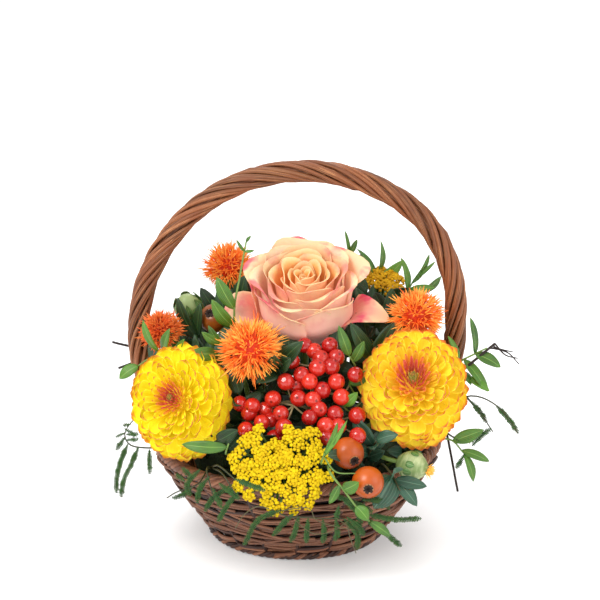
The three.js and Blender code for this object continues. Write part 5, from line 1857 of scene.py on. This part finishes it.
for number, branch in enumerate(BACK_BRANCHES, 1):
    make_branch(number, **branch)

# %% [markdown]
# ## Ferns: one strip
# The fern hangs in narrow strips. Each strip is a wiry rib with two rows of tiny leaflets that
# lie flat on both sides, so close that they look like one toothed ribbon. A leaflet is stamped
# thousands of times, so it has only two faces along and two across.

# %% Fern strips
LEAFLET_LENGTH, LEAFLET_STEP = 2.0, 1.05
LEAFLET = blade(lambda u, t: (0.21 * u * math.sin(math.pi * min(0.25 + 0.65 * t, 1)), 0.14 * u * u, t),
                2, 2, 0.16)


def add_strip(bunch, points, seed):
    """A rib with small leaflets close together on both sides, shorter towards both ends."""
    steps = max(round((Vector(points[-1]) - Vector(points[0])).length / LEAFLET_STEP), 5)
    line = smooth_line(points, steps)
    add_rod(bunch, line, 0.5, 0.25, 4, (0.1, 0.5, 0.5))
    for k in range(1, steps):
        along = (line[k + 1] - line[k - 1]).normalized()
        side = along.cross(Vector((0, -1, 0.2))).normalized()
        reach = LEAFLET_LENGTH * min(1, 0.5 + 0.1 * k, 0.5 + 0.12 * (steps - k))
        for sign in (-1, 1):
            aim = (side * sign + along * 0.4 + Vector((0, -0.2, 0))).normalized()
            flat = aim.cross(along).normalized()
            size = reach * (1 + 0.15 * draw(seed + 3 * k + sign))
            spot = Matrix((flat.cross(aim) * size, flat * size, aim * size)).transposed().to_4x4()
            spot.translation = line[k]
            stamp(bunch, LEAFLET, spot, (0.5 + 0.5 * draw(seed + k), None, None))


print("faces of a leaflet:", len(LEAFLET.polygons))

# %% [markdown]
# ## Ferns over the border
# A fern's wiry stems come out of the foam between the flowers, climb over the border and carry
# the strips. The photo shows each strip, so each has its own line of points. Fine brown threads
# trail in front of the wall.

# %% Hang the ferns
FERNS = {
    "left": {
        "stems": [
            [(-52, -28, 54), (-74, -40, 74), (-88, -50, 75), (-100, -50, 75), (-107, -50, 77),
             (-110, -50, 83), (-108, -50, 89), (-104, -50, 94)],
        ],
        "strips": [
            [(-108, -52, 78), (-113, -52, 66), (-116, -52, 53), (-116, -52, 44)],
            [(-101, -54, 77), (-106, -54, 65), (-111, -54, 54), (-113, -54, 42)],
            [(-94, -56, 76), (-94, -56, 68), (-94, -56, 59)], [(-110, -50, 88), (-103, -50, 83)],
            [(-110, -50, 85), (-116, -50, 82)], [(-110, -50, 82), (-116, -50, 73)],
            [(-109, -50, 84), (-101, -50, 84)], [(-109, -50, 80), (-101, -50, 81)],
            [(-106, -50, 91), (-111, -50, 90)],
        ],
    },
    "front_left": {
        "stems": [
            [(-36, -34, 54), (-54, -66, 68), (-62, -84, 64), (-75, -82, 58), (-82, -78, 52)],
            [(-54, -66, 68), (-46, -96, 76), (-38, -108, 68)],
            [(-54, -66, 68), (-56, -90, 76), (-52, -104, 66)],
            [(-54, -66, 68), (-48, -98, 82), (-38, -116, 81)],
        ],
        "strips": [
            [(-38, -116, 81), (-28, -119, 78), (-19, -120, 75)],
            [(-66, -80, 60), (-72, -78, 54), (-79, -78, 52)],
            [(-36, -106, 68), (-43, -106, 59), (-49, -106, 48)],
            [(-40, -104, 72), (-52, -104, 63), (-57, -104, 54)],
            [(-54, -98, 75), (-60, -98, 67), (-62, -98, 57)],
            [(-60, -94, 78), (-68, -94, 69), (-66, -94, 60)], [(-48, -106, 74), (-35, -108, 64)],
            [(-52, -104, 70), (-46, -108, 58)], [(-70, -84, 66), (-76, -82, 70)],
            [(-64, -90, 70), (-72, -86, 76)],
        ],
    },
    "front": {
        "stems": [[(-14, -52, 54), (-16, -88, 68), (-11, -110, 56), (8, -111, 53), (29, -108, 51)]],
        "strips": [
            [(-10, -111, 58), (-24, -110, 51), (-33, -108, 33)],
            [(-2, -112, 56), (-9, -112, 49), (-15, -110, 40)],
            [(1, -111, 54), (-1, -111, 44), (-4, -108, 35)],
            [(7, -112, 53), (6, -110, 42), (6, -107, 34)],
            [(16, -111, 52), (17, -110, 42), (16, -107, 34)],
            [(24, -109, 51), (25, -109, 43), (24, -106, 35)],
            [(31, -108, 52), (38, -106, 45), (42, -103, 37)],
            [(29, -108, 51), (37, -104, 40), (38, -100, 26)],
        ],
        "threads": [
            [(-11, -110, 57), (7, -112, 60), (12, -112, 52), (26, -112, 47), (36, -109, 44)],
            [(-4, -111, 55), (4, -112, 47), (12, -111, 42), (23, -110, 44), (32, -108, 50)],
            [(24, -109, 52), (31, -110, 47), (33, -107, 38), (37, -100, 24)],
            [(-14, -111, 58), (-24, -112, 61), (-33, -110, 54), (-38, -107, 44)],
        ],
    },
    "front_right": {
        "stems": [
            [(36, -50, 54), (40, -84, 72), (42, -104, 58), (45, -104, 50)],
            [(36, -50, 54), (26, -90, 72), (20, -106, 66)],
        ],
        "strips": [
            [(44, -104, 52), (62, -98, 46), (78, -94, 45)],
            [(42, -104, 50), (54, -98, 38), (66, -90, 24)],
            [(20, -106, 67), (34, -107, 62), (47, -105, 54)],
            [(29, -108, 63), (37, -107, 55), (40, -104, 44)],
            [(40, -104, 62), (52, -101, 60), (58, -96, 52)], [(26, -108, 60), (24, -109, 50)],
        ],
    },
    "right": {
        "stems": [
            [(62, -18, 54), (88, -26, 84), (109, -32, 103), (128, -34, 98), (143, -36, 79)],
            [(109, -32, 103), (118, -31, 92), (127, -30, 78)],
            [(88, -26, 84), (100, -44, 80), (110, -52, 80)],
        ],
        "strips": [
            [(128, -34, 98), (137, -35, 88), (143, -36, 79)],
            [(112, -32, 100), (119, -31, 91), (123, -30, 84)], [(101, -50, 81), (113, -52, 80)],
            [(112, -52, 77), (118, -52, 84), (124, -52, 89)], [(107, -54, 72), (102, -54, 62)],
        ],
    },
    "back": {
        "stems": [[(-2, 56, 54), (-6, 84, 78), (-12, 104, 74), (-18, 116, 58)]],
        "strips": [
            [(-6, 96, 78), (-14, 104, 64), (-18, 106, 50)], [(-8, 98, 77), (2, 106, 66), (6, 106, 54)],
            [(-12, 104, 74), (-24, 108, 62), (-30, 106, 50)],
            [(-14, 108, 70), (-10, 112, 56), (-8, 108, 44)],
            [(-18, 114, 60), (-22, 112, 48), (-22, 108, 40)], [(-4, 86, 80), (12, 98, 76), (18, 104, 66)],
        ],
    },
}


def make_fern(name, stems, strips, threads=()):
    bunch = bmesh.new()
    for stem in stems:
        add_rod(bunch, smooth_line(stem, 30), 0.8, 0.4, 6, (0.05, 0.5, 0.5))
    for thread in threads:
        add_rod(bunch, smooth_line(thread, 20), 0.35, 0.25, 5, (1.0, 0.5, 0.5))
    take_material(bunch, 1)
    green = bmesh.new()
    for k, strip in enumerate(strips):
        add_strip(green, strip, 17 * k)
    pour(bunch, green)
    piece(f"fern_{name}", bunch, [FERN_LEAF, THIN_STEM], [f"fern_{name}"])


for name, fern in FERNS.items():
    make_fern(name, **fern)

# %% [markdown]
# ## Bare twigs
# Two dark twigs stick out at the sides. Each is a thin rod with side twigs, and the right one
# ends in fine hairs. Every side twig starts at the nearest point of the twig that carries it.

# %% Twigs
TWIGS = {
    "left": {
        "path": [(-56, 2, 54), (-74, 8, 94), (-96, 13, 116), (-122, 12, 125)],
        "sides": [[(-106, 12, 112), (-118, 8, 108)]],
        "hairs": [],
    },
    "right": {
        "path": [(64, 4, 54), (84, -10, 92), (101, -22, 112), (127, -26, 137)],
        "sides": [[(96, -30, 82), (103, -58, 48)]],
        "hairs": [
            [(127, -24, 133), (136, -24, 130), (143, -26, 123)],
            [(127, -24, 134), (133, -24, 132), (139, -25, 131)], [(134, -25, 129), (142, -26, 127)],
        ],
    },
}


def make_twig(name, path, sides, hairs):
    """A bare twig with side twigs and fine hairs, each rooted at the nearest point of the twig."""
    bunch = bmesh.new()
    line = smooth_line(path, 24)
    add_rod(bunch, line, 1.3, 0.8, 8)
    for start, end, branches in ((0.9, 0.8, sides), (0.7, 0.35, hairs)):
        for branch in branches:
            fork = min(line, key=lambda p: (p - Vector(branch[0])).length)
            add_rod(bunch, smooth_line([fork, *branch], 10), start, end, 6)
    piece(f"twig_{name}", bunch, [TWIG_BARK], [f"twig_{name}"])


for name, twig in TWIGS.items():
    make_twig(name, **twig)

# %% [markdown]
# ## Measure and finish
# The dressed basket should fill the same box as the frame, give or take a few millimetres. Both
# boxes are printed. The solids that have a dressed piece in their place were hidden as each piece
# was made.

# %% Finish
low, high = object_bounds()
sizes = {"cad": [list(corner) for corner in CAD_BOX], "visual": [list(low), list(high)]}
print("box of the frame and of the pieces in mm:")
for box in sizes.values():
    print([[round(value / MM, 1) for value in corner] for corner in box])
